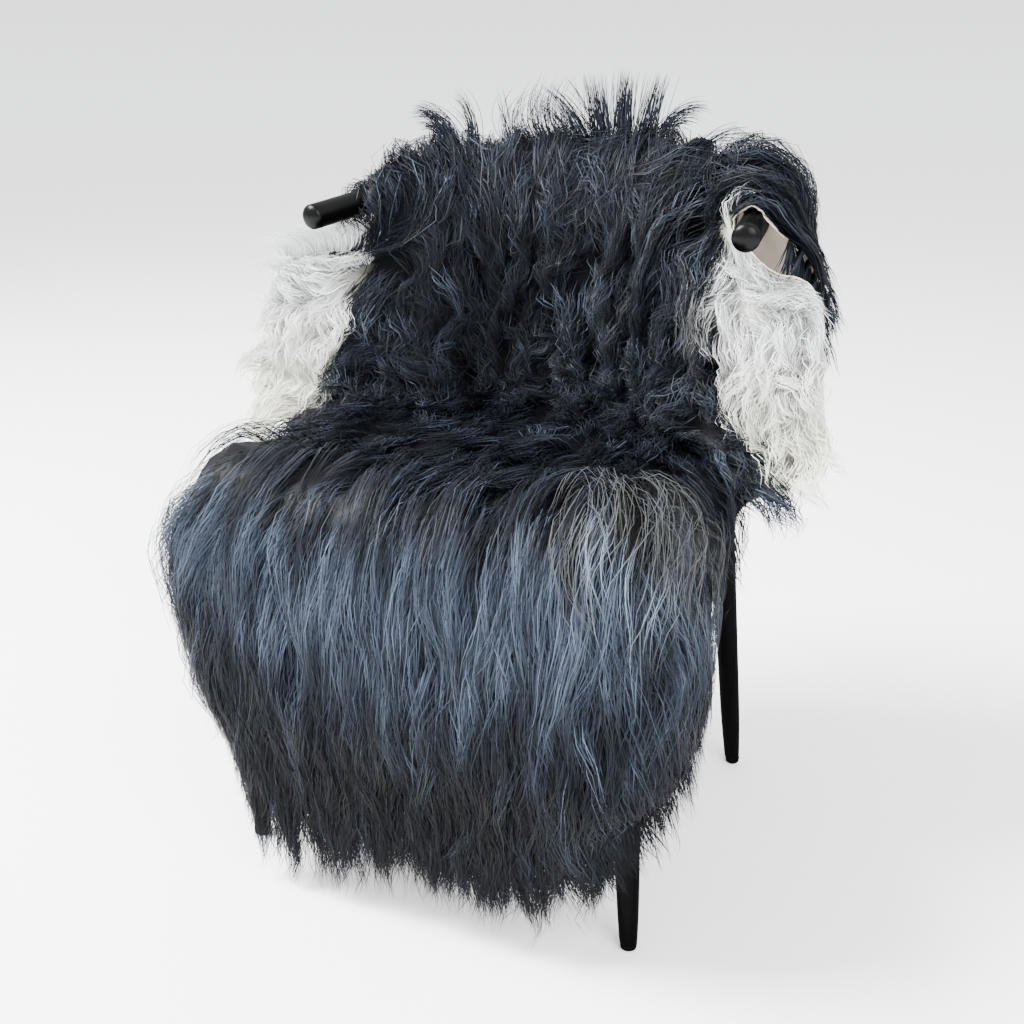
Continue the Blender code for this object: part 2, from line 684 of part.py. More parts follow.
def centre_on_floor():
    """Moves everything so that the footprint's middle is the origin."""
    bpy.context.view_layer.update()
    corners = np.array([
        tuple(thing.matrix_world @ vertex.co)
        for thing in bpy.data.objects if thing.type == "MESH"
        for vertex in thing.data.vertices
    ])
    low = corners.min(axis=0)
    high = corners.max(axis=0)
    shift = Vector((-(low[0] + high[0]) / 2, -(low[1] + high[1]) / 2, -low[2]))
    for thing in bpy.data.objects:
        if thing.type == "MESH":
            for vertex in thing.data.vertices:
                vertex.co += shift


def main():
    clear_scene()
    build_rail()
    build_legs()
    build_seat()
    build_spindles()
    grid = pelt_grid()
    build_pelt(grid)
    build_strips(grid)
    build_crown(grid)
    centre_on_floor()


main()
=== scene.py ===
"""Looks of a piebald long-haired sheepskin thrown over a small dark armchair.

The hide is a thin sheet in its drape. Its wool is grown lock by lock: each lock follows the
hide's surface at the height of the pile, past the hide's edge it hangs free, and it is drawn as
flat tapering hairs. Lengths are metres. Places on the hide are (across, along): across runs
from -1, the left edge, to 1, and along counts the sections of the table below, from 0, the hem
behind the back, to 16, the hem in front.
"""
import math

import bpy
import numpy as np
from mathutils import Matrix, Vector


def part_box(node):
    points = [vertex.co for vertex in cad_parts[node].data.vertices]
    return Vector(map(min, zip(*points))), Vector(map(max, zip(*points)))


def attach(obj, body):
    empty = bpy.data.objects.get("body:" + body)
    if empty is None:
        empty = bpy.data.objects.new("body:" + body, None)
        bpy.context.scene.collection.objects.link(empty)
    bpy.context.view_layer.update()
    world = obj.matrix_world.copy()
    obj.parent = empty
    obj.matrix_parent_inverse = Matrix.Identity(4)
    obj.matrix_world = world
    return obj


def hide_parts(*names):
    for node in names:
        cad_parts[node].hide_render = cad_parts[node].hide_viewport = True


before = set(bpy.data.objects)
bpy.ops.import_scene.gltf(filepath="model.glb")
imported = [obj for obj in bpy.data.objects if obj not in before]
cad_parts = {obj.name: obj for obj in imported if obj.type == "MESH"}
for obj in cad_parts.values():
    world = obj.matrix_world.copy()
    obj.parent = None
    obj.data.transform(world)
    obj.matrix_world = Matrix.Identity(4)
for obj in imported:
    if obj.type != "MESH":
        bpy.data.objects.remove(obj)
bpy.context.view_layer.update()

# Camera, in the chair's own frame
CAMERA_PLACE = (0.617, -1.2396, 0.8555)
CAMERA_YAW = math.radians(26.62)
CAMERA_PITCH = math.radians(-18.61)
FOCAL_PIXELS = 1221.6
PICTURE_PIXELS = 1024
SENSOR_WIDTH = 36.0

# The chair's rail
RAIL_RADIUS = 0.015
RAIL_END_HEIGHT = 0.723
RAIL_RISE_PER_METRE = 0.137
RAIL_PLAN = (
    # x, y
    (0.0, 0.262),
    (0.11, 0.249),
    (0.196, 0.204),
    (0.243, 0.105),
    (0.2665, -0.0185),
)
SEAT_BACK_Y = 0.222

# The hide's drape
HIDE_CLEAR = 0.0042
ACROSS = np.array([-1.0, -0.7, -0.36, 0.0, 0.36, 0.7, 1.0])
RAIL_SHARE_ABOVE = np.array([-0.72, -0.62, -0.28, 0.0, 0.28, 0.66, 0.87])
SECTIONS = (
    # name, wool, rim, left swell, middle(y, z), shoulder(x, y, z), side(x, y, z),
    #   left edge(x, y, z), right edge(x, y, z)
    ("rear_hem", 0.022, 0.01, 0.0, (0.292, 0.61), (0.13, 0.277, 0.602), (0.24, 0.212, 0.606),
     (-0.285, 0.165, 0.672), (0.319, 0.114, 0.654)),
    ("rear_fall", 0.03, 0.012, 0.0, (0.291, 0.695), (0.128, 0.275, 0.69), (0.236, 0.206, 0.69),
     (-0.279, 0.14, 0.708), (0.303, 0.079, 0.698)),
    ("rail_outer", 0.036, 0.014),
    ("rail_top", 0.04, 0.014),
    ("rail_inner", 0.04, 0.012),
    ("under_rail", 0.042, 0.014, 0.0, (0.226, 0.712), (0.108, 0.212, 0.708), (0.188, 0.146, 0.7),
     (-0.266, 0.084, 0.688), (0.281, 0.035, 0.689)),
    ("upper_back", 0.046, 0.016, 0.0, (0.213, 0.64), (0.112, 0.197, 0.636), (0.186, 0.124, 0.634),
     (-0.345, 0.054, 0.662), (0.33, 0.03, 0.67)),
    ("lower_back", 0.046, 0.018, 0.0, (0.198, 0.552), (0.117, 0.178, 0.552), (0.197, 0.1, 0.552),
     (-0.378, 0.034, 0.556), (0.35, 0.02, 0.566)),
    ("seat_back", 0.042, 0.018, 0.0, (0.172, 0.486), (0.123, 0.15, 0.486), (0.214, 0.066, 0.49),
     (-0.376, 0.01, 0.484), (0.352, 0.01, 0.486)),
    ("seat_rear", 0.038, 0.016, 0.0, (0.108, 0.4585), (0.13, 0.092, 0.4585), (0.228, 0.026, 0.4625),
     (-0.3, -0.022, 0.452), (0.288, -0.022, 0.448)),
    ("seat_middle", 0.04, 0.016, 0.0, (0.01, 0.4575), (0.132, -0.002, 0.4575), (0.238, -0.046, 0.4585),
     (-0.29, -0.066, 0.412), (0.276, -0.062, 0.412)),
    ("seat_front", 0.043, 0.018, 0.004, (-0.112, 0.4575), (0.133, -0.118, 0.4575), (0.244, -0.13, 0.4575),
     (-0.296, -0.098, 0.356), (0.271, -0.088, 0.368)),
    ("front_edge", 0.047, 0.02, 0.006, (-0.224, 0.459), (0.134, -0.225, 0.4585), (0.25, -0.214, 0.456),
     (-0.3, -0.126, 0.304), (0.27, -0.106, 0.328)),
    ("drop_top", 0.048, 0.02, 0.014, (-0.268, 0.418), (0.138, -0.267, 0.414), (0.264, -0.24, 0.376),
     (-0.3, -0.15, 0.256), (0.269, -0.13, 0.29)),
    ("drop_middle", 0.046, 0.02, 0.002, (-0.271, 0.33), (0.138, -0.27, 0.322), (0.262, -0.244, 0.286),
     (-0.29, -0.178, 0.228), (0.268, -0.156, 0.258)),
    ("drop_low", 0.042, 0.018, -0.002, (-0.275, 0.24), (0.132, -0.273, 0.234), (0.24, -0.256, 0.218),
     (-0.278, -0.206, 0.202), (0.266, -0.184, 0.23)),
    ("hem", 0.034, 0.016, 0.0, (-0.279, 0.156), (0.118, -0.277, 0.152), (0.205, -0.268, 0.156),
     (-0.266, -0.236, 0.178), (0.261, -0.214, 0.204)),
)
LAST = len(SECTIONS) - 1
HIDE_THICKNESS = 0.0014
# About how long the hide is flat, from its middle to a side and from section to section
HALF_WIDTH = 0.35
SECTION_LENGTH = 0.075

# The surface that the locks follow: the hide, and past its edges a stretch that hangs
CELLS_ACROSS = 96
CELLS_PER_SECTION = 10
HANG = 0.21
HANG_COLUMNS = 28
HANG_ROWS = 25
HANG_TURN = 0.045
PILE_EVENED = 14
RIM_FROM = 0.62

SEED = 11
UP = np.array([0.0, 0.0, 1.0])


def shift_of_chair():
    """From the chair's own frame to this one, by where the seat is."""
    low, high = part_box("seat")
    return np.array([(low.x + high.x) / 2, high.y - SEAT_BACK_Y, 0.0])


SHIFT = shift_of_chair()


# Arithmetic

def unit(vectors):
    return vectors / np.maximum(np.linalg.norm(vectors, axis=-1, keepdims=True), 1e-12)


def dot(a, b):
    return np.sum(a * b, axis=-1)


def smooth_step(low, high, value):
    t = np.clip((value - low) / (high - low), 0, 1)
    return t * t * (3 - 2 * t)


def up_and_down(rise_from, rise_to, fall_from, fall_to, value):
    """0, then 1 between the rise and the fall, then 0 again."""
    return smooth_step(rise_from, rise_to, value) * (1 - smooth_step(fall_from, fall_to, value))


def laid_flat(across, along):
    """About where a place on the hide is when it lies flat, in metres."""
    return across * HALF_WIDTH, along * SECTION_LENGTH


def curve_through(knots, values, samples):
    """A smooth curve through values at knots, read at samples. The first axis runs along it."""
    knots = np.asarray(knots, float)
    values = np.asarray(values, float)
    samples = np.atleast_1d(samples)
    slopes = np.gradient(values, knots, axis=0)
    low = np.clip(np.searchsorted(knots, samples, side="right") - 1, 0, len(knots) - 2)
    span = knots[low + 1] - knots[low]
    shape = (-1,) + (1,) * (values.ndim - 1)
    t = ((samples - knots[low]) / span).reshape(shape)
    span = span.reshape(shape)
    return (
        (2 * t**3 - 3 * t**2 + 1) * values[low]
        + (t**3 - 2 * t**2 + t) * span * slopes[low]
        + (3 * t**2 - 2 * t**3) * values[low + 1]
        + (t**3 - t**2) * span * slopes[low + 1]
    )


def ripple(x, y, seed, scale, count=6):
    """Smooth unevenness of about -1 to 1 whose hills are about scale apart."""
    random = np.random.default_rng(seed)
    total = np.zeros(np.broadcast(x, y).shape)
    for _ in range(count):
        turn = random.uniform(0, 2 * math.pi)
        pace = 2 * math.pi / scale * random.uniform(0.6, 1.5)
        start = random.uniform(0, 2 * math.pi)
        total += np.cos(pace * (x * math.cos(turn) + y * math.sin(turn)) + start)
    return total / math.sqrt(count)


# The rail and the drape over it

def rail_table():
    half = np.array(RAIL_PLAN)
    whole = np.vstack([half[:0:-1] * (-1, 1), half])
    lengths = np.concatenate([[0], np.cumsum(np.linalg.norm(np.diff(whole, axis=0), axis=1))])
    return lengths / lengths[-1] * 2 - 1, whole


def rail_point(share):
    """A point on the rail's axis; share runs from -1, the left arm's end, to 1."""
    shares, whole = rail_table()
    plan = curve_through(shares, whole, share)
    height = RAIL_END_HEIGHT + RAIL_RISE_PER_METRE * (plan[:, 1] - RAIL_PLAN[-1][1])
    return np.column_stack([plan, height])


def rail_frame(share, step=0.004):
    """Point, outward direction in plan and upward direction across the rail."""
    share = np.atleast_1d(share).astype(float)
    along = unit(rail_point(np.clip(share + step, -1, 1)) - rail_point(np.clip(share - step, -1, 1)))
    outward = -unit(np.cross(along, UP))
    upward = unit(np.cross(along, outward))
    upward *= np.sign(upward[:, 2:3])
    return rail_point(share), outward, upward


def section_lines(across):
    """The flesh side's line across the hide at each section, read at every place across."""
    lines = np.zeros((len(SECTIONS), len(across), 3))
    centre, outward, upward = rail_frame(curve_through(ACROSS, RAIL_SHARE_ABOVE, across))
    reach = RAIL_RADIUS + HIDE_CLEAR
    mirror = np.array([-1, 1, 1])
    on_rail = {"rail_outer": outward, "rail_top": upward, "rail_inner": -outward}
    for row, (name, _, _, *places) in enumerate(SECTIONS):
        if name in on_rail:
            lines[row] = centre + reach * on_rail[name]
        else:
            swell, middle, shoulder, side, left, right = places
            shaping = np.array([
                left,
                np.array(side) * mirror - np.array([swell, swell * 0.5, 0.0]),
                np.array(shoulder) * mirror - np.array([swell * 0.5, 0.0, 0.0]),
                (0.0, *middle),
                shoulder,
                side,
                right,
            ])
            lines[row] = curve_through(ACROSS, shaping, across)
    return lines


def hanging(edge, off, steps):
    """Points past an edge, leaving it along off and soon turning down."""
    step = HANG / steps
    made = []
    place = edge
    for k in range(steps):
        turned = 1 - math.exp(-(k + 1) * step / HANG_TURN)
        place = place + unit(off * (1 - turned) - UP * turned) * step
        made.append(place)
    return made


def evened(values, rounds):
    """Each value averaged with its neighbours on the grid."""
    for _ in range(rounds):
        padded = np.pad(values, ((1, 1), (1, 1), (0, 0)), mode="edge")
        values = (
            padded[1:-1, 1:-1] * 2
            + padded[:-2, 1:-1] + padded[2:, 1:-1]
            + padded[1:-1, :-2] + padded[1:-1, 2:]
        ) / 6
    return values


class Drape:
    """The hide's flesh side, the direction of its pile and the pile's depth, on one grid."""

    def __init__(self):
        across = np.linspace(-1, 1, CELLS_ACROSS + 1)
        along = np.linspace(0, LAST, LAST * CELLS_PER_SECTION + 1)
        inner = curve_through(np.arange(LAST + 1), section_lines(across), along) + SHIFT
        self.step_across = across[1] - across[0]
        self.step_along = along[1] - along[0]

        left_off = unit(inner[:, 0] - inner[:, 3])
        right_off = unit(inner[:, -1] - inner[:, -4])
        left = hanging(inner[:, 0], left_off, HANG_COLUMNS)
        right = hanging(inner[:, -1], right_off, HANG_COLUMNS)
        wide = np.concatenate([np.stack(left[::-1], 1), inner, np.stack(right, 1)], axis=1)
        rear_off = unit(wide[0] - wide[4])
        front_off = unit(wide[-1] - wide[-5])
        rear = hanging(wide[0], rear_off, HANG_ROWS)
        front = hanging(wide[-1], front_off, HANG_ROWS)
        self.points = np.concatenate([np.stack(rear[::-1], 0), wide, np.stack(front, 0)], axis=0)

        self.first_across = -1 - HANG_COLUMNS * self.step_across
        self.first_along = -HANG_ROWS * self.step_along
        self.per_along = np.gradient(self.points, axis=0) / self.step_along
        self.per_across = np.gradient(self.points, axis=1) / self.step_across
        pile = unit(np.cross(self.per_along, self.per_across))
        self.pile = unit(evened(pile, PILE_EVENED))
        rows, columns = self.points.shape[:2]
        self.inner = slice(HANG_ROWS, rows - HANG_ROWS), slice(HANG_COLUMNS, columns - HANG_COLUMNS)
        self.along = self.first_along + self.step_along * np.arange(rows)
        self.across = self.first_across + self.step_across * np.arange(columns)
        self.depth = self.depth_at_grid()[..., None]

    def depth_at_grid(self):
        sections = np.arange(LAST + 1)
        middle, rim = (
            np.interp(self.along, sections, [row[k] for row in SECTIONS])[:, None] for k in (1, 2)
        )
        near_side = np.clip((np.abs(self.across) - RIM_FROM) / (1 - RIM_FROM), 0, 1)[None, :] ** 1.5
        depth = middle * (1 - near_side) + rim * near_side
        to_end = np.minimum(self.along, LAST - self.along)[:, None]
        return depth * np.clip(0.55 + 0.45 * to_end, 0.3, 1)

    def read(self, grid, across, along):
        """The grid's values at places on the hide, between its points too."""
        rows, columns = self.points.shape[:2]
        j = np.clip((across - self.first_across) / self.step_across, 0, columns - 1.001)
        i = np.clip((along - self.first_along) / self.step_along, 0, rows - 1.001)
        j0 = j.astype(int)
        i0 = i.astype(int)
        tj = (j - j0)[..., None]
        ti = (i - i0)[..., None]
        return (
            grid[i0, j0] * (1 - ti) * (1 - tj)
            + grid[i0, j0 + 1] * (1 - ti) * tj
            + grid[i0 + 1, j0] * ti * (1 - tj)
            + grid[i0 + 1, j0 + 1] * ti * tj
        )


drape = Drape()


# What the wool is like, place by place

# Where the white flanks begin on each side: section, place across
WHITE_FROM_RIGHT = (
    (3.8, 1.02), (4.0, 0.86), (4.4, 0.81), (5.0, 0.8), (5.9, 0.79), (6.4, 0.8), (6.8, 0.82),
    (7.1, 0.85), (7.6, 0.89), (8.2, 0.97), (8.7, 1.1),
)
WHITE_FROM_LEFT = (
    (4.1, 1.05), (5.0, 0.97), (6.0, 0.88), (6.7, 0.86), (7.5, 0.84), (8.2, 0.88), (8.9, 1.1),
)
# Along the hide: section, lock length, wave height, wave length, share drawn to the lock's
# middle, lift of the tips
GROWTH = (
    (0.0, 0.08, 0.003, 0.06, 0.74, 0.9),
    (2.0, 0.095, 0.003, 0.07, 0.74, 0.9),
    (3.0, 0.1, 0.003, 0.07, 0.76, 1.0),
    (4.0, 0.098, 0.005, 0.06, 0.8, 1.0),
    (5.0, 0.096, 0.008, 0.056, 0.86, 1.0),
    (7.0, 0.09, 0.009, 0.05, 0.88, 1.0),
    (8.0, 0.082, 0.007, 0.048, 0.84, 1.0),
    (9.0, 0.085, 0.004, 0.055, 0.74, 0.9),
    (11.0, 0.105, 0.002, 0.08, 0.66, 0.8),
    (12.0, 0.15, 0.0015, 0.12, 0.58, 0.8),
    (13.0, 0.17, 0.0018, 0.11, 0.62, 0.9),
    (14.0, 0.16, 0.003, 0.08, 0.74, 0.9),
    (15.0, 0.145, 0.004, 0.06, 0.84, 1.0),
    (16.0, 0.13, 0.005, 0.05, 0.84, 1.0),
)
WHITE_LENGTH = 0.068
WHITE_WAVE = 0.005
# Where the wool parts along the top of the back: place across, section
PARTING = (
    (-1.0, 2.5), (-0.8, 2.3), (-0.6, 2.0), (-0.45, 1.8), (0.0, 1.8), (0.36, 2.0), (0.46, 3.0),
    (0.56, 4.4), (0.8, 4.6), (1.0, 4.3),
)
# The painted sheen, a highlight painted into the colour of the long hair in front: place across, the
# sections where it begins and ends
SHEEN = (
    (-1.0, 11.9, 13.5), (-0.65, 12.3, 13.8), (-0.51, 12.5, 14.1), (-0.35, 12.8, 14.7),
    (-0.13, 12.9, 14.9), (0.08, 12.9, 14.9), (0.29, 12.7, 14.7), (0.48, 12.4, 14.5),
    (0.63, 12.3, 14.2), (0.76, 12.3, 13.6), (1.0, 12.3, 13.2),
)
# How low the locks reach, in front by distance to the right of the chair's middle, and on
# the right side by distance behind it
HEM_IN_FRONT = (
    (-0.3, 0.2), (-0.26, 0.19), (-0.22, 0.13), (-0.19, 0.065), (-0.165, 0.015), (-0.13, 0.02),
    (-0.05, 0.038), (0.02, 0.06), (0.05, 0.064), (0.08, 0.052), (0.1, 0.05), (0.17, 0.058),
    (0.235, 0.09), (0.265, 0.15), (0.29, 0.205), (0.317, 0.265), (0.34, 0.32),
)
HEM_AT_RIGHT = ((-0.26, 0.13), (-0.22, 0.15), (-0.2, 0.19), (-0.12, 0.23), (-0.06, 0.3))
RIGHT_SIDE_FROM = 0.25
HEM_FROM_SECTION = 11.5
HEM_UNEVEN = 0.009
# No hair goes lower above the floor
LEAST_HEIGHT = 0.004
NOWHERE = 2.0


def whiteness(across, along):
    """1 on the white flanks, 0 on the black wool."""
    right = np.interp(along, *zip(*WHITE_FROM_RIGHT), left=NOWHERE, right=NOWHERE)
    left = np.interp(along, *zip(*WHITE_FROM_LEFT), left=NOWHERE, right=NOWHERE)
    edge = np.where(across > 0, right, left)
    uneven = 0.012 * ripple(*laid_flat(across, along), 5, 0.03)
    return smooth_step(-0.02, 0.02, np.abs(across) - edge + uneven)


def painted_sheen_at(across, along):
    """How much highlight is painted into the black wool as sheen: most where the long hair turns down in
    front, faint elsewhere, less lower down.
    """
    places, *table = np.array(SHEEN).T
    begins, ends = (np.interp(across, places, column) for column in table)
    a, b = laid_flat(across, along)
    upper = smooth_step(-0.3, 0.45, along - begins + 0.3 * ripple(a, b * 0.3, 17, 0.035))
    below = along - ends + 0.45 * ripple(a, b * 0.3, 18, 0.045)
    lower = 1 - 0.9 * smooth_step(-1.3, 0.2, below)
    uneven = 0.85 + 0.35 * ripple(a, b * 0.25, 19, 0.02)
    elsewhere = 0.13 + 0.09 * ripple(a, b, 20, 0.05)
    elsewhere = elsewhere * (1 - 0.75 * smooth_step(-0.8, 0.4, below))
    return np.clip(np.maximum(upper * lower * uneven, elsewhere), 0, 1)


def heading(across, along):
    """Which way the wool lies, as a vector in space that the surface then flattens."""
    side = np.sign(across)
    near_side = np.abs(across)
    way = np.zeros((*np.broadcast(across, along).shape, 3))
    way[..., 2] = -1.0
    on_seat = up_and_down(7.7, 9.2, 12.0, 12.9, along)
    way[..., 1] -= 0.9 * on_seat

    splay = (
        0.55 * on_seat * smooth_step(0.35, 0.95, near_side)
        + 0.3 * smooth_step(4.5, 6.0, along) * (1 - on_seat) * smooth_step(0.5, 1.0, near_side)
        + 0.3 * (1 - smooth_step(2.0, 3.4, along))
    )
    left_fan = 0.42 * up_and_down(11.3, 12.3, 12.8, 14.2, along) * smooth_step(0.1, 0.6, near_side)
    way[..., 0] += side * (splay + np.where(side < 0, left_fan, 0))

    over_arm = smooth_step(0.42, 0.62, near_side) * (1 - smooth_step(3.6, 4.5, along))
    short_of_edge = 1 - 1.5 * smooth_step(0.78, 0.95, near_side)
    over_arm = np.where(side > 0, 0.48 * short_of_edge, 0.75) * over_arm
    flank_top = smooth_step(0.8, 0.95, near_side) * up_and_down(4.2, 5.0, 5.8, 7.0, along)
    outwards = unit(drape.read(drape.per_across, across, along)) * np.where(side < 0, -1.0, 1.0)[..., None]
    way += outwards * (over_arm + 1.1 * flank_top)[..., None]
    way[..., 2] += np.where(side < 0, 2.3, 0.8) * flank_top

    off_parting = along - np.interp(across, *zip(*PARTING))
    from_parting = np.tanh(off_parting * 6) * 1.5 * np.exp(-((off_parting / 1.3) ** 2))
    way += unit(drape.read(drape.per_along, across, along)) * from_parting[..., None]
    return way


def turned_heading(across, along, turn):
    """Steps on the hide for one metre along the wool's heading, turned by an angle."""
    per_across = drape.read(drape.per_across, across, along)
    per_along = drape.read(drape.per_along, across, along)
    pile = drape.read(drape.pile, across, along)
    way = heading(across, along)
    way = unit(way - pile * dot(way, pile)[..., None])
    sideways = np.cross(pile, way)
    way = way * np.cos(turn)[..., None] + sideways * np.sin(turn)[..., None]
    aa = dot(per_across, per_across)
    bb = dot(per_along, per_along)
    ab = dot(per_across, per_along)
    ra = dot(way, per_across)
    rb = dot(way, per_along)
    size = np.maximum(aa * bb - ab * ab, 1e-9)
    step_across = (ra * bb - rb * ab) / size
    step_along = (rb * aa - ra * ab) / size
    step = per_across * step_across[..., None] + per_along * step_along[..., None]
    length = np.maximum(np.linalg.norm(step, axis=-1), 0.2)
    return step_across / length, step_along / length


def tousled(along):
    """How far the locks stray: most on the back, least in the long hair in front."""
    return 1 + 0.7 * up_and_down(4, 5, 7.5, 9, along) - 0.5 * smooth_step(11.5, 12.5, along)


PATH_STEPS = 14
PATH_SPARE = 1.2


def lock_paths(across, along, length, turn):
    """Each lock's way over the hide, as places at even steps of its length."""
    places = [(across, along)]
    step = length * PATH_SPARE / PATH_STEPS
    for _ in range(PATH_STEPS):
        a, b = places[-1]
        flat = laid_flat(a, b)
        uneven = 0.35 * ripple(*flat, 23, 0.07) + 0.18 * ripple(*flat, 29, 0.025)
        da, db = turned_heading(a, b, turn + uneven * tousled(b))
        places.append((a + da * step, b + db * step))
    return np.stack([p[0] for p in places], 1), np.stack([p[1] for p in places], 1)


def scattered(random, count, first, last, low, high):
    """Places spread evenly by area over part of the hide."""
    def cells(starts, begin, end):
        return np.nonzero((starts[:-1] >= begin - 1e-6) & (starts[:-1] < end - 1e-6))[0]

    rows = cells(drape.along, first, last)
    columns = cells(drape.across, low, high)
    size = np.linalg.norm(np.cross(
        drape.per_along[np.ix_(rows, columns)], drape.per_across[np.ix_(rows, columns)]
    ), axis=-1)
    chance = (size / size.sum()).ravel()
    chosen = random.choice(len(chance), size=count, p=chance)
    i, j = np.unravel_index(chosen, size.shape)
    along = drape.along[rows[i]] + random.uniform(0, 1, count) * drape.step_along
    across = drape.across[columns[j]] + random.uniform(0, 1, count) * drape.step_across
    return across, along


# Hairs as flat tapering bands

def add_object(name, data):
    thing = bpy.data.objects.new(name, data)
    bpy.context.scene.collection.objects.link(thing)
    return thing


def keep_values(mesh, key, values):
    """Numbers kept at the mesh's points, for its material."""
    made = mesh.attributes.new(key, "FLOAT", "POINT")
    made.data.foreach_set("value", values.astype(np.float32).ravel())


def band_mesh(name, centres, sides, widths, **values):
    """One mesh of flat bands, each ending in a point. values are numbers kept at its points."""
    count, rings = centres.shape[:2]
    left = centres[:, :-1] - sides[:, :-1] * widths[:, :-1, None] / 2
    right = centres[:, :-1] + sides[:, :-1] * widths[:, :-1, None] / 2
    pairs = np.stack([left, right], axis=2).reshape(count, -1, 3)
    points = np.concatenate([pairs, centres[:, -1:]], axis=1)
    per_hair = points.shape[1]

    quads = rings - 2
    pattern = []
    starts = []
    for k in range(quads):
        starts.append(len(pattern))
        pattern += [2 * k, 2 * k + 1, 2 * k + 3, 2 * k + 2]
    starts.append(len(pattern))
    pattern += [2 * quads, 2 * quads + 1, 2 * quads + 2]
    offsets = np.arange(count)[:, None]
    corners = (np.array(pattern)[None] + offsets * per_hair).astype(np.int32).ravel()
    firsts = (np.array(starts)[None] + offsets * len(pattern)).astype(np.int32).ravel()

    mesh = bpy.data.meshes.new(name)
    mesh.vertices.add(count * per_hair)
    mesh.vertices.foreach_set("co", points.astype(np.float32).ravel())
    mesh.loops.add(len(corners))
    mesh.loops.foreach_set("vertex_index", corners)
    mesh.polygons.add(len(firsts))
    mesh.polygons.foreach_set("loop_start", firsts)
    mesh.polygons.foreach_set("use_smooth", np.ones(len(firsts), bool))
    mesh.update(calc_edges=True)

    values["along"] = np.broadcast_to(np.linspace(0, 1, rings), (count, rings))
    for key, value in values.items():
        value = np.broadcast_to(value, (count, rings))
        at_points = np.concatenate([np.repeat(value[:, :-1], 2, axis=1), value[:, -1:]], axis=1)
        keep_values(mesh, key, at_points)
    lay_out(mesh, corners, count, per_hair, rings)
    return add_object(name, mesh)


def lay_out(mesh, corners, count, per_hair, rings):
    """A map on which each hair has its own upright cell."""
    cells = math.ceil(math.sqrt(count))
    hair = corners // per_hair
    local = corners % per_hair
    at_tip = local == per_hair - 1
    u = np.where(at_tip, 0.5, 0.2 + 0.6 * (local % 2))
    v = 0.08 + 0.84 * (local // 2) / (rings - 1)
    places = np.column_stack([(hair % cells + u) / cells, (hair // cells + v) / cells])
    layer = mesh.uv_layers.new(name="OFBake")
    layer.uv.foreach_set("vector", places.astype(np.float32).ravel())


def reach_to_hem(path_across, path_along, random):
    """The share of each lock's length that stays above the line of the hem in front."""
    points = drape.read(drape.points, path_across, path_along) - SHIFT
    limit = np.interp(points[..., 0], *zip(*HEM_IN_FRONT))
    at_right = np.interp(points[..., 1], *zip(*HEM_AT_RIGHT))
    limit = np.where(points[..., 0] > RIGHT_SIDE_FROM, np.maximum(limit, at_right), limit)
    limit = np.where(path_along > HEM_FROM_SECTION, limit, 0.0)
    limit = limit + random.normal(0, HEM_UNEVEN, (len(points), 1))
    below = points[..., 2] < limit
    first = np.where(below.any(axis=1), below.argmax(axis=1), PATH_STEPS)
    return np.minimum(1, first / PATH_STEPS * PATH_SPARE)


# How locks and hairs vary: as shares, or in radians and metres
LOCK_LENGTHS = (0.78, 1.15)
SHORTER_AT_EDGE = 0.25
SHORTEST_REACH = 0.12
LOCK_TURN = 0.15
RIDGE_TURN = 0.55
HAIR_LENGTHS = (0.72, 1.08)
HAIR_LAYERS = (0.8, 1.12)
HAIR_WIDTHS = (0.7, 1.25)
TIP_DROP = 0.55
WAVE_START = 0.35
LOOSENESS = 0.0018
STRAY_SHARE = 0.07
STRAY_REACH = 4.5
TILT = 0.75
TILT_ADDED = 0.5
# The locks with a painted highlight: their share, from section 12 on too, and how strong the painted
# highlight is
SHINY_SHARE = 0.14
SHINY_SHARE_IN_FRONT = 0.24
SHINE = (0.3, 0.8)


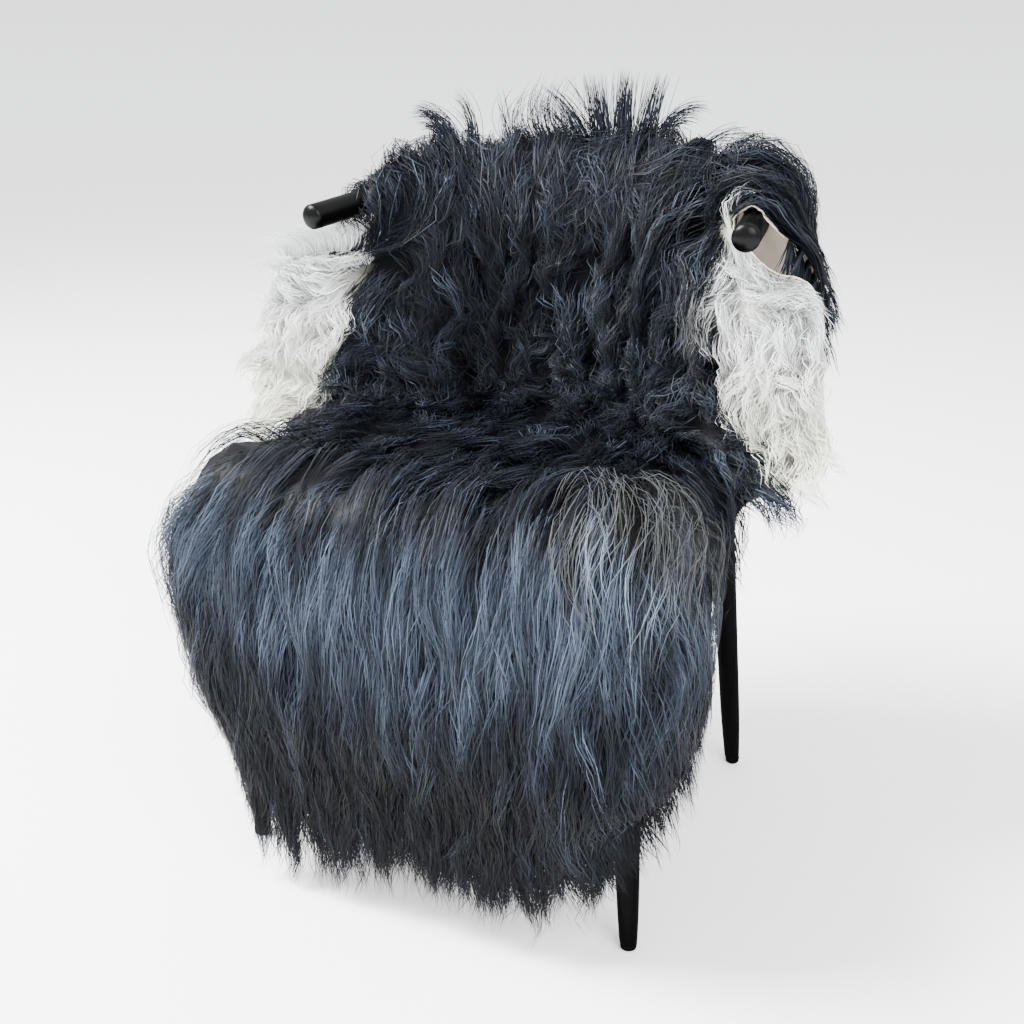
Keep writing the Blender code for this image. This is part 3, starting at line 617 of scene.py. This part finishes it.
def grow(name, seed, locks, hairs_per_lock, region, rings, hair_width, lock_radius,
         keep=None, layer=(0.45, 1.05), length_scale=1.0, wave_scale=1.0, white=None,
         blue_scale=1.0):
    """Locks of wool over one region of the hide, as one piece."""
    random = np.random.default_rng(SEED + seed)
    across, along = scattered(random, locks, *region)
    if keep is not None:
        chosen = random.uniform(0, 1, locks) < keep(across, along)
        across, along = across[chosen], along[chosen]
    locks = len(across)
    sections, *table = np.array(GROWTH).T
    length, wave, wave_length, drawn, lift = (np.interp(along, sections, column) for column in table)
    pale = whiteness(across, along) if white is None else np.full(locks, white)
    flank = whiteness(across, along)
    length = length * (1 - flank) + WHITE_LENGTH * flank
    wave = (wave * (1 - flank) + WHITE_WAVE * flank) * wave_scale
    length = length * random.uniform(*LOCK_LENGTHS, locks) * length_scale
    length = length * (1 - SHORTER_AT_EDGE * smooth_step(0.85, 1.0, np.abs(across)))
    on_ridge = np.exp(-(((along - 3.0) / 0.8) ** 2)) * (1 - smooth_step(0.45, 0.65, np.abs(across)))
    turn = random.normal(0, LOCK_TURN + RIDGE_TURN * on_ridge)
    path_across, path_along = lock_paths(across, along, length, turn)
    reach = reach_to_hem(path_across, path_along, random)
    chosen = reach > SHORTEST_REACH
    across, along, length, wave, wave_length, drawn, lift, pale, reach, path_across, path_along = (
        values[chosen] for values in (
            across, along, length, wave, wave_length, drawn, lift, pale, reach, path_across, path_along,
        )
    )
    locks = len(across)

    hair_count = locks * hairs_per_lock
    lock_of = np.repeat(np.arange(locks), hairs_per_lock)
    per_across = np.linalg.norm(drape.read(drape.per_across, across, along), axis=-1)
    per_along = np.linalg.norm(drape.read(drape.per_along, across, along), axis=-1)
    off_across = random.normal(0, lock_radius, hair_count) / per_across[lock_of]
    off_along = random.normal(0, lock_radius, hair_count) / per_along[lock_of]

    size = random.uniform(*HAIR_LENGTHS, hair_count) * reach[lock_of]
    share = np.linspace(0, 1, rings)[None] * size[:, None]
    at = share / PATH_SPARE * PATH_STEPS
    low = np.clip(at.astype(int), 0, PATH_STEPS - 1)
    t = at - low
    rows = lock_of[:, None]
    gather = 1 - drawn[lock_of][:, None] * smooth_step(0.0, 1.1, share)
    hair_across = path_across[rows, low] * (1 - t) + path_across[rows, low + 1] * t
    hair_along = path_along[rows, low] * (1 - t) + path_along[rows, low + 1] * t
    hair_across = hair_across + off_across[:, None] * gather
    hair_along = hair_along + off_along[:, None] * gather

    surface = drape.read(drape.points, hair_across, hair_along)
    pile = drape.read(drape.pile, hair_across, hair_along)
    depth = drape.read(drape.depth, hair_across, hair_along)[..., 0]
    lock_layer = random.uniform(*layer, locks)[lock_of]
    hair_layer = lock_layer * random.uniform(*HAIR_LAYERS, hair_count)
    rise = smooth_step(-0.12, 0.42, share)
    tip_drop = random.uniform(0.0, TIP_DROP, hair_count)[:, None] * share**2
    height = depth * hair_layer[:, None] * rise * (1 - tip_drop * (1.1 - lift[lock_of][:, None]))
    height = np.maximum(height, HIDE_THICKNESS + 0.0006)
    centres = surface + pile * height[..., None]

    ahead = unit(np.gradient(centres, axis=1))
    sideways = unit(np.cross(pile, ahead))
    swing = wave[lock_of][:, None] * smooth_step(0.05, 0.6, share)
    pace = 2 * math.pi * length[lock_of][:, None] / wave_length[lock_of][:, None]
    start = random.uniform(0, 2 * math.pi, locks)[lock_of][:, None]
    phase = pace * share + (start + random.normal(0, WAVE_START, hair_count)[:, None])
    centres = centres + sideways * (swing * np.sin(phase))[..., None]
    centres = centres + pile * (0.6 * swing * (1 + np.cos(phase)))[..., None]
    stray = np.where(random.uniform(0, 1, hair_count) < STRAY_SHARE, STRAY_REACH, 1.0)[:, None]
    loose = (random.normal(0, LOOSENESS, (hair_count, 3)) * stray)[:, None, :] * share[..., None] ** 2
    centres = centres + loose
    centres[..., 2] = np.maximum(centres[..., 2], LEAST_HEIGHT)

    ahead = unit(np.gradient(centres, axis=1))
    sideways = unit(np.cross(pile, ahead))
    upright = np.cross(ahead, sideways)
    tilt = random.uniform(-TILT, TILT, hair_count)[:, None]
    tilt = tilt + random.normal(0, TILT_ADDED, hair_count)[:, None] * share
    sides = sideways * np.cos(tilt)[..., None] + upright * np.sin(tilt)[..., None]
    profile = np.interp(np.linspace(0, 1, rings), (0, 0.15, 0.7, 1), (0.7, 1, 0.8, 0.2))
    widths = hair_width * random.uniform(*HAIR_WIDTHS, hair_count)[:, None] * profile[None]

    # Painted highlights: a share of the locks, larger in front, get the sheen colour painted on most of
    # their hairs
    shiny = random.uniform(0, 1, locks) < np.where(along > 12, SHINY_SHARE_IN_FRONT, SHINY_SHARE)
    shine = np.where(shiny, random.uniform(*SHINE, locks), 0)[lock_of]
    shine = shine * np.where(random.uniform(0, 1, hair_count) < 0.6, 1, 0.2)
    lock_tint = random.uniform(0, 1, locks)[lock_of]
    tint = np.clip(0.55 * lock_tint + 0.45 * random.uniform(0, 1, hair_count), 0, 1)
    return band_mesh(
        name, centres, sides, widths,
        tint=tint[:, None],
        pale=np.clip(pale[lock_of][:, None], 0, 1),
        # The sheen painted into the colour as a highlight, here or on a shining lock
        blue=np.maximum(painted_sheen_at(hair_across, hair_along), shine[:, None]) * blue_scale,
        low=smooth_step(0.66, 0.44, centres[..., 2]),
        # Painted shade: darker where the hair hangs low in front
        deep=smooth_step(0.3, 0.14, centres[..., 2]),
    )


# Materials

def new_material(name):
    material = bpy.data.materials.new(name)
    material.use_nodes = True
    return material, material.node_tree, material.node_tree.nodes["Principled BSDF"]


def add_node(tree, kind, **settings):
    made = tree.nodes.new(kind)
    for key, value in settings.items():
        setattr(made, key, value)
    return made


def ramp(tree, value, stops):
    made = add_node(tree, "ShaderNodeValToRGB")
    elements = made.color_ramp.elements
    while len(elements) < len(stops):
        elements.new(0.5)
    for element, (place, colour) in zip(elements, stops):
        element.position = place
        element.color = (*colour, 1.0)
    tree.links.new(value, made.inputs["Fac"])
    return made.outputs["Color"]


def put_in(tree, made, *values):
    """Fills a node's sockets, each with a number, a colour or another node's output."""
    for key, value in values:
        socket = made.inputs[key]
        if isinstance(value, (float, int)):
            socket.default_value = value
        elif isinstance(value, tuple):
            socket.default_value = (*value, 1.0)
        else:
            tree.links.new(value, socket)


def mixed(tree, factor, first, second, blend="MIX"):
    made = add_node(tree, "ShaderNodeMix", data_type="RGBA", blend_type=blend)
    put_in(tree, made, (0, factor), (6, first), (7, second))
    return made.outputs[2]


def calculated(tree, operation, first, second):
    made = add_node(tree, "ShaderNodeMath", operation=operation)
    put_in(tree, made, (0, first), (1, second))
    return made.outputs[0]


def greys(*stops):
    """Stops of a ramp from plain numbers."""
    return [(place, (value,) * 3) for place, value in stops]


def noise(tree, where, scale, detail):
    made = add_node(tree, "ShaderNodeTexNoise")
    put_in(tree, made, ("Scale", scale), ("Detail", detail), ("Vector", where))
    return made.outputs["Fac"]


def add_bump(tree, shader, height, strength, distance):
    bump = add_node(tree, "ShaderNodeBump")
    put_in(tree, bump, ("Strength", strength), ("Distance", distance), ("Height", height))
    put_in(tree, shader, ("Normal", bump.outputs["Normal"]))


def attribute(tree, name):
    return add_node(tree, "ShaderNodeAttribute", attribute_name=name).outputs["Fac"]


BLACK_ROOT = (0.001, 0.0011, 0.0014)
BLACK_MIDDLE = (0.0023, 0.0026, 0.0035)
BLACK_TIP = (0.0045, 0.0051, 0.0066)
BROWN_TIP = (0.026, 0.018, 0.013)
# The colour of the painted sheen, a cold grey highlight painted into the black wool
PAINTED_SHEEN_COLOUR = (0.084, 0.108, 0.154)
WHITE_ROOT = (0.4, 0.4, 0.38)
WHITE_MIDDLE = (0.68, 0.7, 0.7)
WHITE_TIP = (0.76, 0.78, 0.78)
CREAM = (0.76, 0.74, 0.58)
SUEDE_TAN = (0.5, 0.42, 0.33)
SUEDE_CREAM = (0.7, 0.64, 0.55)
LACQUER = (0.0005, 0.0005, 0.0006)
GLIDE_BLACK = (0.0012, 0.0012, 0.0012)


def wool_material():
    """Black and white wool, by what each hair's points hold, with a cold grey highlight painted into the
    black as sheen and painted shade on the black hair low in front.
    """
    material, tree, shader = new_material("wool")
    along = attribute(tree, "along")
    tint = attribute(tree, "tint")
    black = ramp(tree, along, ((0.0, BLACK_ROOT), (0.5, BLACK_MIDDLE), (1.0, BLACK_TIP)))
    far_out = calculated(tree, "POWER", along, 3.0)
    rare = ramp(tree, tint, greys((0.72, 0), (0.95, 1)))
    black = mixed(tree, calculated(tree, "MULTIPLY", far_out, rare), black, BROWN_TIP)
    # Painted sheen: a highlight mixed into the black, stronger on some hairs than others and weak at the
    # roots and tips
    sheen = ramp(tree, tint, greys((0.15, 0.08), (0.85, 1)))
    from_root = ramp(tree, along, greys((0.08, 0.1), (0.4, 1), (0.95, 0.35)))
    painted_sheen_mix = calculated(tree, "MULTIPLY", attribute(tree, "blue"), sheen)
    painted_sheen_mix = calculated(tree, "MULTIPLY", painted_sheen_mix, from_root)
    black = mixed(tree, painted_sheen_mix, black, PAINTED_SHEEN_COLOUR)
    # Painted shade: black hair that hangs low in front is darkened towards the root colour
    painted_shade_mix = calculated(tree, "MULTIPLY", attribute(tree, "deep"), 0.62)
    black = mixed(tree, painted_shade_mix, black, BLACK_ROOT)
    white = ramp(tree, along, ((0.0, WHITE_ROOT), (0.35, WHITE_MIDDLE), (1.0, WHITE_TIP)))
    cream = calculated(tree, "MULTIPLY", attribute(tree, "low"), 0.8)
    white = mixed(tree, cream, white, CREAM)
    greyed = ramp(tree, tint, greys((0.0, 0.72), (1.0, 1)))
    white = mixed(tree, 1.0, white, greyed, "MULTIPLY")
    colour = mixed(tree, attribute(tree, "pale"), black, white)
    put_in(tree, shader, ("Base Color", colour), ("Roughness", 0.45), ("Specular IOR Level", 0.06))
    return material


def hide_material():
    """Cream flesh side, like fine suede, a little tan in the folds."""
    material, tree, shader = new_material("hide")
    where = add_node(tree, "ShaderNodeTexCoord").outputs["Object"]
    broad = noise(tree, where, 14.0, 5.0)
    fine = noise(tree, where, 420.0, 4.0)
    colour = ramp(tree, broad, ((0.3, SUEDE_TAN), (0.7, SUEDE_CREAM)))
    rough = ramp(tree, fine, greys((0.3, 0.7), (0.7, 0.9)))
    put_in(tree, shader, ("Base Color", colour), ("Roughness", rough), ("Sheen Weight", 0.3))
    add_bump(tree, shader, fine, 0.25, 0.0006)
    return material


def satin_material(name, colour, gloss, grain, coat):
    """Black wood or plastic with a satin finish, its grain just showing."""
    material, tree, shader = new_material(name)
    stretch = add_node(tree, "ShaderNodeMapping")
    stretch.inputs["Scale"].default_value = grain
    tree.links.new(add_node(tree, "ShaderNodeTexCoord").outputs["Object"], stretch.inputs["Vector"])
    streaks = noise(tree, stretch.outputs["Vector"], 60.0, 6.0)
    lighter = tuple(c * 2.2 for c in colour)
    shade = ramp(tree, streaks, ((0.35, colour), (0.75, lighter)))
    rough = ramp(tree, streaks, greys((0.3, gloss), (0.7, gloss + 0.14)))
    put_in(tree, shader, ("Base Color", shade), ("Roughness", rough), ("Specular IOR Level", 0.0))
    put_in(tree, shader, ("Coat Weight", coat), ("Coat Roughness", 0.3))
    add_bump(tree, shader, streaks, 0.12, 0.0004)
    return material


# Pieces

def slab_mesh(name, material, under, over, **values):
    """A thin closed body between two grids of points."""
    rows, columns = under.shape[:2]
    count = rows * columns
    points = np.vstack([under.reshape(-1, 3), over.reshape(-1, 3)])
    index = np.arange(count).reshape(rows, columns)
    quads = np.stack([index[:-1, :-1], index[:-1, 1:], index[1:, 1:], index[1:, :-1]], -1).reshape(-1, 4)
    rim = np.concatenate([index[0], index[1:, -1], index[-1, -2::-1], index[-2:0:-1, 0]])
    following = np.roll(rim, -1)
    wall = np.stack([following, rim, rim + count, following + count], -1)
    faces = np.vstack([quads, quads[:, ::-1] + count, wall])
    mesh = bpy.data.meshes.new(name)
    mesh.from_pydata(points.tolist(), [], faces.tolist())
    mesh.validate()
    mesh.shade_smooth()
    for key, value in values.items():
        value = np.broadcast_to(value, (rows, columns)).ravel()
        keep_values(mesh, key, np.concatenate([value, value]))
    turn_outwards(mesh)
    mesh.materials.append(material)
    return add_object(name, mesh)


def turn_outwards(mesh):
    """Flips the faces of a closed body that is inside out."""
    mesh.calc_loop_triangles()
    corners = np.empty(len(mesh.loop_triangles) * 3, np.int32)
    mesh.loop_triangles.foreach_get("vertices", corners)
    points = np.empty(len(mesh.vertices) * 3, np.float32)
    mesh.vertices.foreach_get("co", points)
    a, b, c = (points.reshape(-1, 3)[corners.reshape(-1, 3)[:, k]].astype(float) for k in range(3))
    if dot(a, np.cross(b, c)).sum() < 0:
        mesh.flip_normals()


HIDE_LIFT = 0.0008
COAT_CLEAR = 0.0026
COAT_LEAST = 0.0012
# The undercoat's height as a share of the pile's depth, and its unevenness
COAT_SHARE = 0.36
COAT_UNEVEN = 0.09


def make_hide(material):
    rows, columns = drape.inner
    flesh = drape.points[drape.inner][:, ::2]
    pile = drape.pile[drape.inner][:, ::2]
    a, b = laid_flat(drape.across[columns][None, ::2], drape.along[rows][:, None])
    creases = 0.0007 * ripple(a, b, 41, 0.035) + 0.0004 * ripple(a, b, 43, 0.012)
    under = flesh + pile * (HIDE_LIFT + creases)[..., None]
    return slab_mesh("hide", material, under, under + pile * HIDE_THICKNESS)


def make_undercoat(material):
    """The dense short wool below the long hair."""
    rows, columns = drape.inner
    flesh = drape.points[drape.inner][::2, ::2]
    pile = drape.pile[drape.inner][::2, ::2]
    depth = drape.depth[drape.inner][::2, ::2, 0]
    across = drape.across[columns][None, ::2]
    along = drape.along[rows][::2, None]
    a, b = laid_flat(across, along)
    edge = np.minimum(np.minimum(1 - np.abs(across), 0.4 * along), 0.4 * (LAST - along))
    swell = smooth_step(0.0, 0.1, edge)
    tufts = 0.5 * ripple(a, b, 47, 0.03) + 0.5 * ripple(a, b, 53, 0.012)
    low = HIDE_THICKNESS + COAT_CLEAR
    high = low + COAT_LEAST + depth * swell * (COAT_SHARE + COAT_UNEVEN * tufts)
    # The undercoat gets three tenths of the painted sheen
    return slab_mesh(
        "undercoat", material, flesh + pile * low, flesh + pile * high[..., None],
        along=0.12, tint=np.clip(0.4 + 0.3 * tufts, 0, 1), pale=whiteness(across, along),
        blue=painted_sheen_at(across, along) * 0.3, low=0.5,
    )


# Single tufts: those that stand along the top of the back, black ones that hang over the right
# edge by the arm, and white ones that stand on the left flank's edge. The turn is from upright
# towards the viewer's right, in radians: at the root, and what is added by the tip.
CROWN = (
    # place across, section, hairs, length, half width, turn at root, added turn, gather, white
    (-0.545, 3.25, 120, 0.088, 0.012, 0.15, -1.9, 0.92, 0),
    (-0.475, 3.25, 40, 0.09, 0.006, 0.2, -1.0, 0.92, 0),
    (-0.36, 3.25, 12, 0.078, 0.006, -0.1, -0.3, 0.8, 0),
    (-0.27, 3.25, 34, 0.098, 0.014, -0.95, 1.9, 0.35, 0),
    (-0.17, 3.2, 60, 0.1, 0.016, -0.75, 1.4, 0.45, 0),
    (-0.08, 3.2, 70, 0.094, 0.014, -0.35, -0.6, 0.55, 0),
    (0.0, 3.15, 110, 0.092, 0.01, -0.2, 0.05, 0.75, 0),
    (0.07, 3.1, 130, 0.094, 0.009, 0.0, 0.05, 0.78, 0),
    (0.15, 3.05, 100, 0.092, 0.009, 0.16, 0.1, 0.78, 0),
    (0.22, 3.1, 60, 0.092, 0.008, 0.15, 1.75, 0.92, 0),
    (0.35, 3.05, 120, 0.055, 0.007, 0.2, 5.2, 0.6, 0),
    (0.38, 3.1, 24, 0.07, 0.008, 0.75, 1.0, 0.3, 0),
    (0.985, 0.1, 80, 0.05, 0.01, 2.65, 0.2, 0.1, 0),
    (0.985, 0.35, 110, 0.056, 0.012, 2.85, 0.2, 0.1, 0),
    (0.985, 0.65, 110, 0.06, 0.012, 3.0, 0.2, 0.1, 0),
    (0.985, 0.95, 110, 0.062, 0.012, 3.1, 0.2, 0.1, 0),
    (0.985, 1.25, 110, 0.06, 0.012, 3.1, 0.2, 0.1, 0),
    (0.985, 1.55, 80, 0.056, 0.01, 3.1, 0.2, 0.1, 0),
    (-0.985, 5.15, 120, 0.034, 0.012, 0.4, -0.8, 0.0, 1),
    (-0.985, 5.35, 140, 0.04, 0.013, 0.3, -1.2, 0.0, 1),
    (-0.985, 5.55, 150, 0.042, 0.014, 0.25, -1.5, 0.0, 1),
    (-0.985, 5.75, 150, 0.044, 0.014, 0.15, -1.6, 0.0, 1),
    (-0.985, 5.95, 140, 0.044, 0.014, 0.05, -1.7, 0.0, 1),
    (-0.985, 6.2, 100, 0.038, 0.012, -0.1, -1.8, 0.0, 1),
)
# From here across the tufts hang towards the viewer, by this share of their length
EDGE_TUFTS_FROM = 0.9
EDGE_TUFTS_FORWARD = 0.22
CROWN_RINGS = 10
CROWN_WIDTH = 0.0009


def make_crown(material):
    """The single tufts, as one piece."""
    random = np.random.default_rng(SEED + 90)
    right = np.array([math.cos(CAMERA_YAW), math.sin(CAMERA_YAW), 0.0])
    away = np.array([-math.sin(CAMERA_YAW), math.cos(CAMERA_YAW), 0.0])
    centres = []
    tints = []
    whites = []
    share = np.linspace(0, 1, CROWN_RINGS)
    for across, along, hairs, length, half_width, turn, added, gather, white in CROWN:
        forward = EDGE_TUFTS_FORWARD if across > EDGE_TUFTS_FROM else 0.0
        place = np.array([[across]]), np.array([[along]])
        root = drape.read(drape.points, *place)[0, 0]
        pile = drape.read(drape.pile, *place)[0, 0]
        depth = drape.read(drape.depth, *place)[0, 0, 0]
        base = root + pile * depth * 0.45
        way_across = unit(drape.read(drape.per_across, *place)[0, 0])
        for _ in range(hairs):
            spread = random.normal(0, half_width)
            ahead = random.normal(0, half_width * 0.5)
            size = length * random.uniform(0.6, 1.08)
            start = turn + spread / half_width * 0.22 * (1 - gather) + random.normal(0, 0.06)
            angles = start + added * share ** 1.3 * random.uniform(0.85, 1.12)
            steps = np.sin(angles)[:, None] * right + np.cos(angles)[:, None] * UP
            steps = steps + away * (random.normal(0, 0.1) - forward)
            path = np.cumsum(unit(steps), axis=0) * size / CROWN_RINGS
            drawn = 1 - gather * share[:, None] ** 0.8
            centres.append(base + path + (way_across * spread + away * ahead) * drawn)
            tints.append(random.uniform(0.1, 0.8))
            whites.append(white)
    centres = np.array(centres)
    ahead = unit(np.gradient(centres, axis=1))
    sides = unit(np.cross(ahead, away + 0.35 * random.normal(0, 1, (len(centres), 1, 3))))
    profile = np.interp(share, (0, 0.3, 0.8, 1), (1, 1, 0.6, 0.2))
    widths = CROWN_WIDTH * random.uniform(0.7, 1.2, (len(centres), 1)) * profile[None]
    # The tufts get an even painted sheen, a quarter of the full highlight
    tufts = band_mesh("wool_crown", centres, sides, widths, tint=np.array(tints)[:, None],
                      pale=np.array(whites)[:, None], blue=0.25, low=0.0, deep=0.0)
    tufts.data.materials.append(material)
    return tufts


# Each arm's end: distance from its very tip, and radius there, as shares of the rail's radius
RAIL_END = (
    (0.0, 0.0), (0.02, 0.25), (0.08, 0.5), (0.19, 0.74), (0.32, 0.9), (0.42, 0.965), (0.55, 1.0),
)
RAIL_STATIONS = 97
RAIL_SIDES = 40


def make_rail(material):
    """The rail again with rounder sides and a soft edge on each arm's domed end."""
    half = np.linalg.norm(np.diff(rail_point(np.linspace(0, 1, 60)), axis=0), axis=1).sum()
    first = [(-1 + d * RAIL_RADIUS / half, r) for d, r in RAIL_END]
    last = [(-s, r) for s, r in first[::-1]]
    body = [(s, 1.0) for s in np.linspace(first[-1][0], last[0][0], RAIL_STATIONS)[1:-1]]
    shares, radii = (np.array(x) for x in zip(*(first + body + last)))
    centres, outwards, upwards = rail_frame(shares)
    sides = RAIL_SIDES
    turns = np.linspace(0, 2 * math.pi, sides, endpoint=False)[None, :, None]
    circles = np.cos(turns) * outwards[:, None] + np.sin(turns) * upwards[:, None]
    rings = (centres[:, None] + (radii * RAIL_RADIUS)[:, None, None] * circles)[1:-1]
    count = len(rings)
    points = np.vstack([rings.reshape(-1, 3), centres[:1], centres[-1:]]) + SHIFT
    faces = []
    for i in range(count - 1):
        for k in range(sides):
            a, b = i * sides + k, i * sides + (k + 1) % sides
            faces.append((a, b, b + sides, a + sides))
    tips = count * sides
    base = (count - 1) * sides
    for k in range(sides):
        faces.append((tips, (k + 1) % sides, k))
        faces.append((tips + 1, base + k, base + (k + 1) % sides))
    mesh = bpy.data.meshes.new("arm_rail_round")
    mesh.from_pydata(points.tolist(), [], faces)
    mesh.shade_smooth()
    turn_outwards(mesh)
    mesh.materials.append(material)
    return add_object("arm_rail_round", mesh)


def make_wool(material):
    """Every piece of long wool, by region."""
    def black(across, along):
        return 1 - whiteness(across, along)

    pieces = [
        grow("wool_rear", 1, 320, 14, (0, 2.0, -1, 1), 6, 0.0012, 0.01, keep=black),
        grow("wool_top", 2, 560, 20, (2.0, 4.6, -1, 0.55), 6, 0.001, 0.009, keep=black,
             layer=(0.6, 1.35)),
        grow("wool_flap", 12, 460, 22, (0.0, 5.2, 0.46, 0.96), 7, 0.0012, 0.008, keep=black,
             layer=(0.45, 1.55), length_scale=1.2, wave_scale=0.35),
        grow("wool_shoulder", 15, 110, 22, (2.4, 4.3, -1, -0.7), 6, 0.001, 0.007, keep=black,
             layer=(0.6, 1.9), length_scale=1.15, wave_scale=0.4),
        grow("wool_fringe", 16, 210, 18, (15.2, 16, -0.97, 0.97), 7, 0.001, 0.009,
             layer=(0.35, 1.0), length_scale=1.3),
        grow("wool_back_left", 3, 360, 22, (4.6, 8.4, -1, 0), 7, 0.001, 0.01, keep=black,
             layer=(0.45, 1.2)),
        grow("wool_back_right", 4, 360, 22, (4.6, 8.4, 0, 1), 7, 0.001, 0.01, keep=black,
             layer=(0.45, 1.2)),
        grow("wool_seat", 5, 400, 20, (8.4, 11.9, -1, 1), 6, 0.001, 0.01, keep=black),
        grow("wool_front_left", 6, 850, 13, (11.9, 14.4, -1, 0.05), 6, 0.0009, 0.009),
        grow("wool_front_right", 7, 850, 13, (11.9, 14.4, 0.05, 1), 6, 0.0009, 0.009),
        grow("wool_hem", 8, 380, 22, (14.4, 16, -1, 1), 6, 0.001, 0.008),
        # The grey patch: faintly pale hair with more than twice the painted sheen
        grow("wool_grey", 11, 34, 9, (11.1, 12.2, 0.48, 0.72), 8, 0.0008, 0.014,
             layer=(0.95, 1.15), length_scale=0.68, wave_scale=3.0, white=0.045, blue_scale=2.2),
        grow("wool_white_right", 9, 330, 18, (4.0, 8.8, 0.7, 1), 6, 0.001, 0.008,
             keep=whiteness),
        grow("wool_white_left", 10, 330, 18, (4.0, 8.9, -1, -0.7), 6, 0.001, 0.008,
             keep=whiteness),
        grow("wool_arch_right", 13, 90, 18, (4.7, 7.0, 0.88, 1), 6, 0.001, 0.006, keep=whiteness,
             layer=(0.6, 1.8), length_scale=0.8),
        grow("wool_arch_left", 14, 130, 18, (4.7, 7.0, -1, -0.86), 6, 0.001, 0.006, white=1.0,
             layer=(0.6, 2.0), length_scale=0.9),
    ]
    for piece in pieces:
        piece.data.materials.append(material)
    return pieces


# The solids' strips of locks that each piece stands for
STRIPS = {
    "wool_rear": (
        "rear_locks_left", "rear_locks_middle_left", "rear_locks_middle_right", "rear_locks_right",
        "shoulder_locks_left", "shoulder_locks_right",
    ),
    "wool_seat": ("seat_locks_left", "seat_locks_right"),
    "wool_front_left": ("drop_locks_left",),
    "wool_front_right": ("drop_locks_right",),
    "wool_hem": ("hem_locks_left", "hem_locks_middle", "hem_locks_right"),
    "wool_white_left": ("flank_locks_left",),
    "wool_white_right": ("flank_locks_right",),
}


def make_object():
    wool = wool_material()
    hide = make_hide(hide_material())
    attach(hide, "root")
    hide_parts("pelt")

    pieces = make_wool(wool)
    for piece in pieces:
        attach(piece, "root")
        if piece.name in STRIPS:
            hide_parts(*STRIPS[piece.name])
    undercoat = make_undercoat(wool)
    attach(undercoat, "root")
    crown = make_crown(wool)
    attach(crown, "root")
    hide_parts("crown_tufts_left", "crown_tufts_middle")

    satin = satin_material("black_lacquer", LACQUER, 0.3, (1.0, 1.0, 0.08), 0.04)
    rail = make_rail(satin_material("rail_lacquer", LACQUER, 0.24, (1.0, 0.08, 1.0), 0.2))
    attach(rail, "root")
    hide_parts("arm_rail")
    glide = satin_material("glide_plastic", GLIDE_BLACK, 0.45, (1.0, 1.0, 1.0), 0.03)
    for name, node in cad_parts.items():
        if name.startswith(("leg_", "seat", "spindle_", "glide_")) and "locks" not in name:
            node.data.materials.clear()
            node.data.materials.append(glide if name.startswith("glide_") else satin)


# Camera, floor and light

FLOOR_REACH = 30.0
FLOOR_GREY = (0.94, 0.94, 0.94)
# By how far up one looks: straight ahead, a little up, and above that
SKY = ((0.0, (0.9, 0.92, 0.94)), (0.07, (0.78, 0.79, 0.81)), (0.3, (0.97, 0.98, 1.0)))
SKY_STRENGTH = 2.55
SOFTBOXES = (
    # name, place, target, size, power, colour
    ("window", (-2.3, -1.3, 3.8), (0.4, 0.0, 0.1), 2.0, 1200.0, (0.97, 0.985, 1.0)),
    ("fill", (2.6, -1.8, 2.6), (0.8, -0.1, 0.0), 2.4, 240.0, (1.0, 1.0, 0.99)),
)


def make_camera():
    forward = Vector((
        -math.sin(CAMERA_YAW) * math.cos(CAMERA_PITCH),
        math.cos(CAMERA_YAW) * math.cos(CAMERA_PITCH),
        math.sin(CAMERA_PITCH),
    ))
    right = forward.cross(Vector((0, 0, 1))).normalized()
    up = right.cross(forward)
    data = bpy.data.cameras.new("camera")
    data.sensor_width = SENSOR_WIDTH
    data.lens = FOCAL_PIXELS / PICTURE_PIXELS * SENSOR_WIDTH
    camera = add_object("camera", data)
    turn = Matrix((right, up, -forward)).transposed().to_4x4()
    camera.matrix_world = Matrix.Translation(Vector(CAMERA_PLACE) + Vector(SHIFT)) @ turn
    bpy.context.scene.camera = camera


def make_floor():
    mesh = bpy.data.meshes.new("floor")
    corners = [(x * FLOOR_REACH, y * FLOOR_REACH, 0) for x, y in ((-1, -1), (1, -1), (1, 1), (-1, 1))]
    mesh.from_pydata(corners, [], [(0, 1, 2, 3)])
    floor = add_object("floor", mesh)
    material, tree, shader = new_material("floor")
    put_in(tree, shader, ("Base Color", FLOOR_GREY), ("Roughness", 0.9), ("Specular IOR Level", 0.1))
    mesh.materials.append(material)


def add_softbox(name, place, target, size, power, colour):
    data = bpy.data.lights.new(name, "AREA")
    data.shape = "SQUARE"
    data.size = size
    data.energy = power
    data.color = colour
    lamp = add_object(name, data)
    lamp.location = place
    lamp.rotation_mode = "QUATERNION"
    lamp.rotation_quaternion = (Vector(target) - Vector(place)).to_track_quat("-Z", "Y")


def make_light():
    world = bpy.data.worlds.new("studio")
    world.use_nodes = True
    tree = world.node_tree
    background = tree.nodes["Background"]
    where = add_node(tree, "ShaderNodeTexCoord").outputs["Generated"]
    apart = add_node(tree, "ShaderNodeSeparateXYZ")
    tree.links.new(where, apart.inputs[0])
    sky = ramp(tree, apart.outputs["Z"], SKY)
    put_in(tree, background, ("Color", sky), ("Strength", SKY_STRENGTH))
    bpy.context.scene.world = world
    for softbox in SOFTBOXES:
        add_softbox(*softbox)


make_object()
make_camera()
make_floor()
make_light()
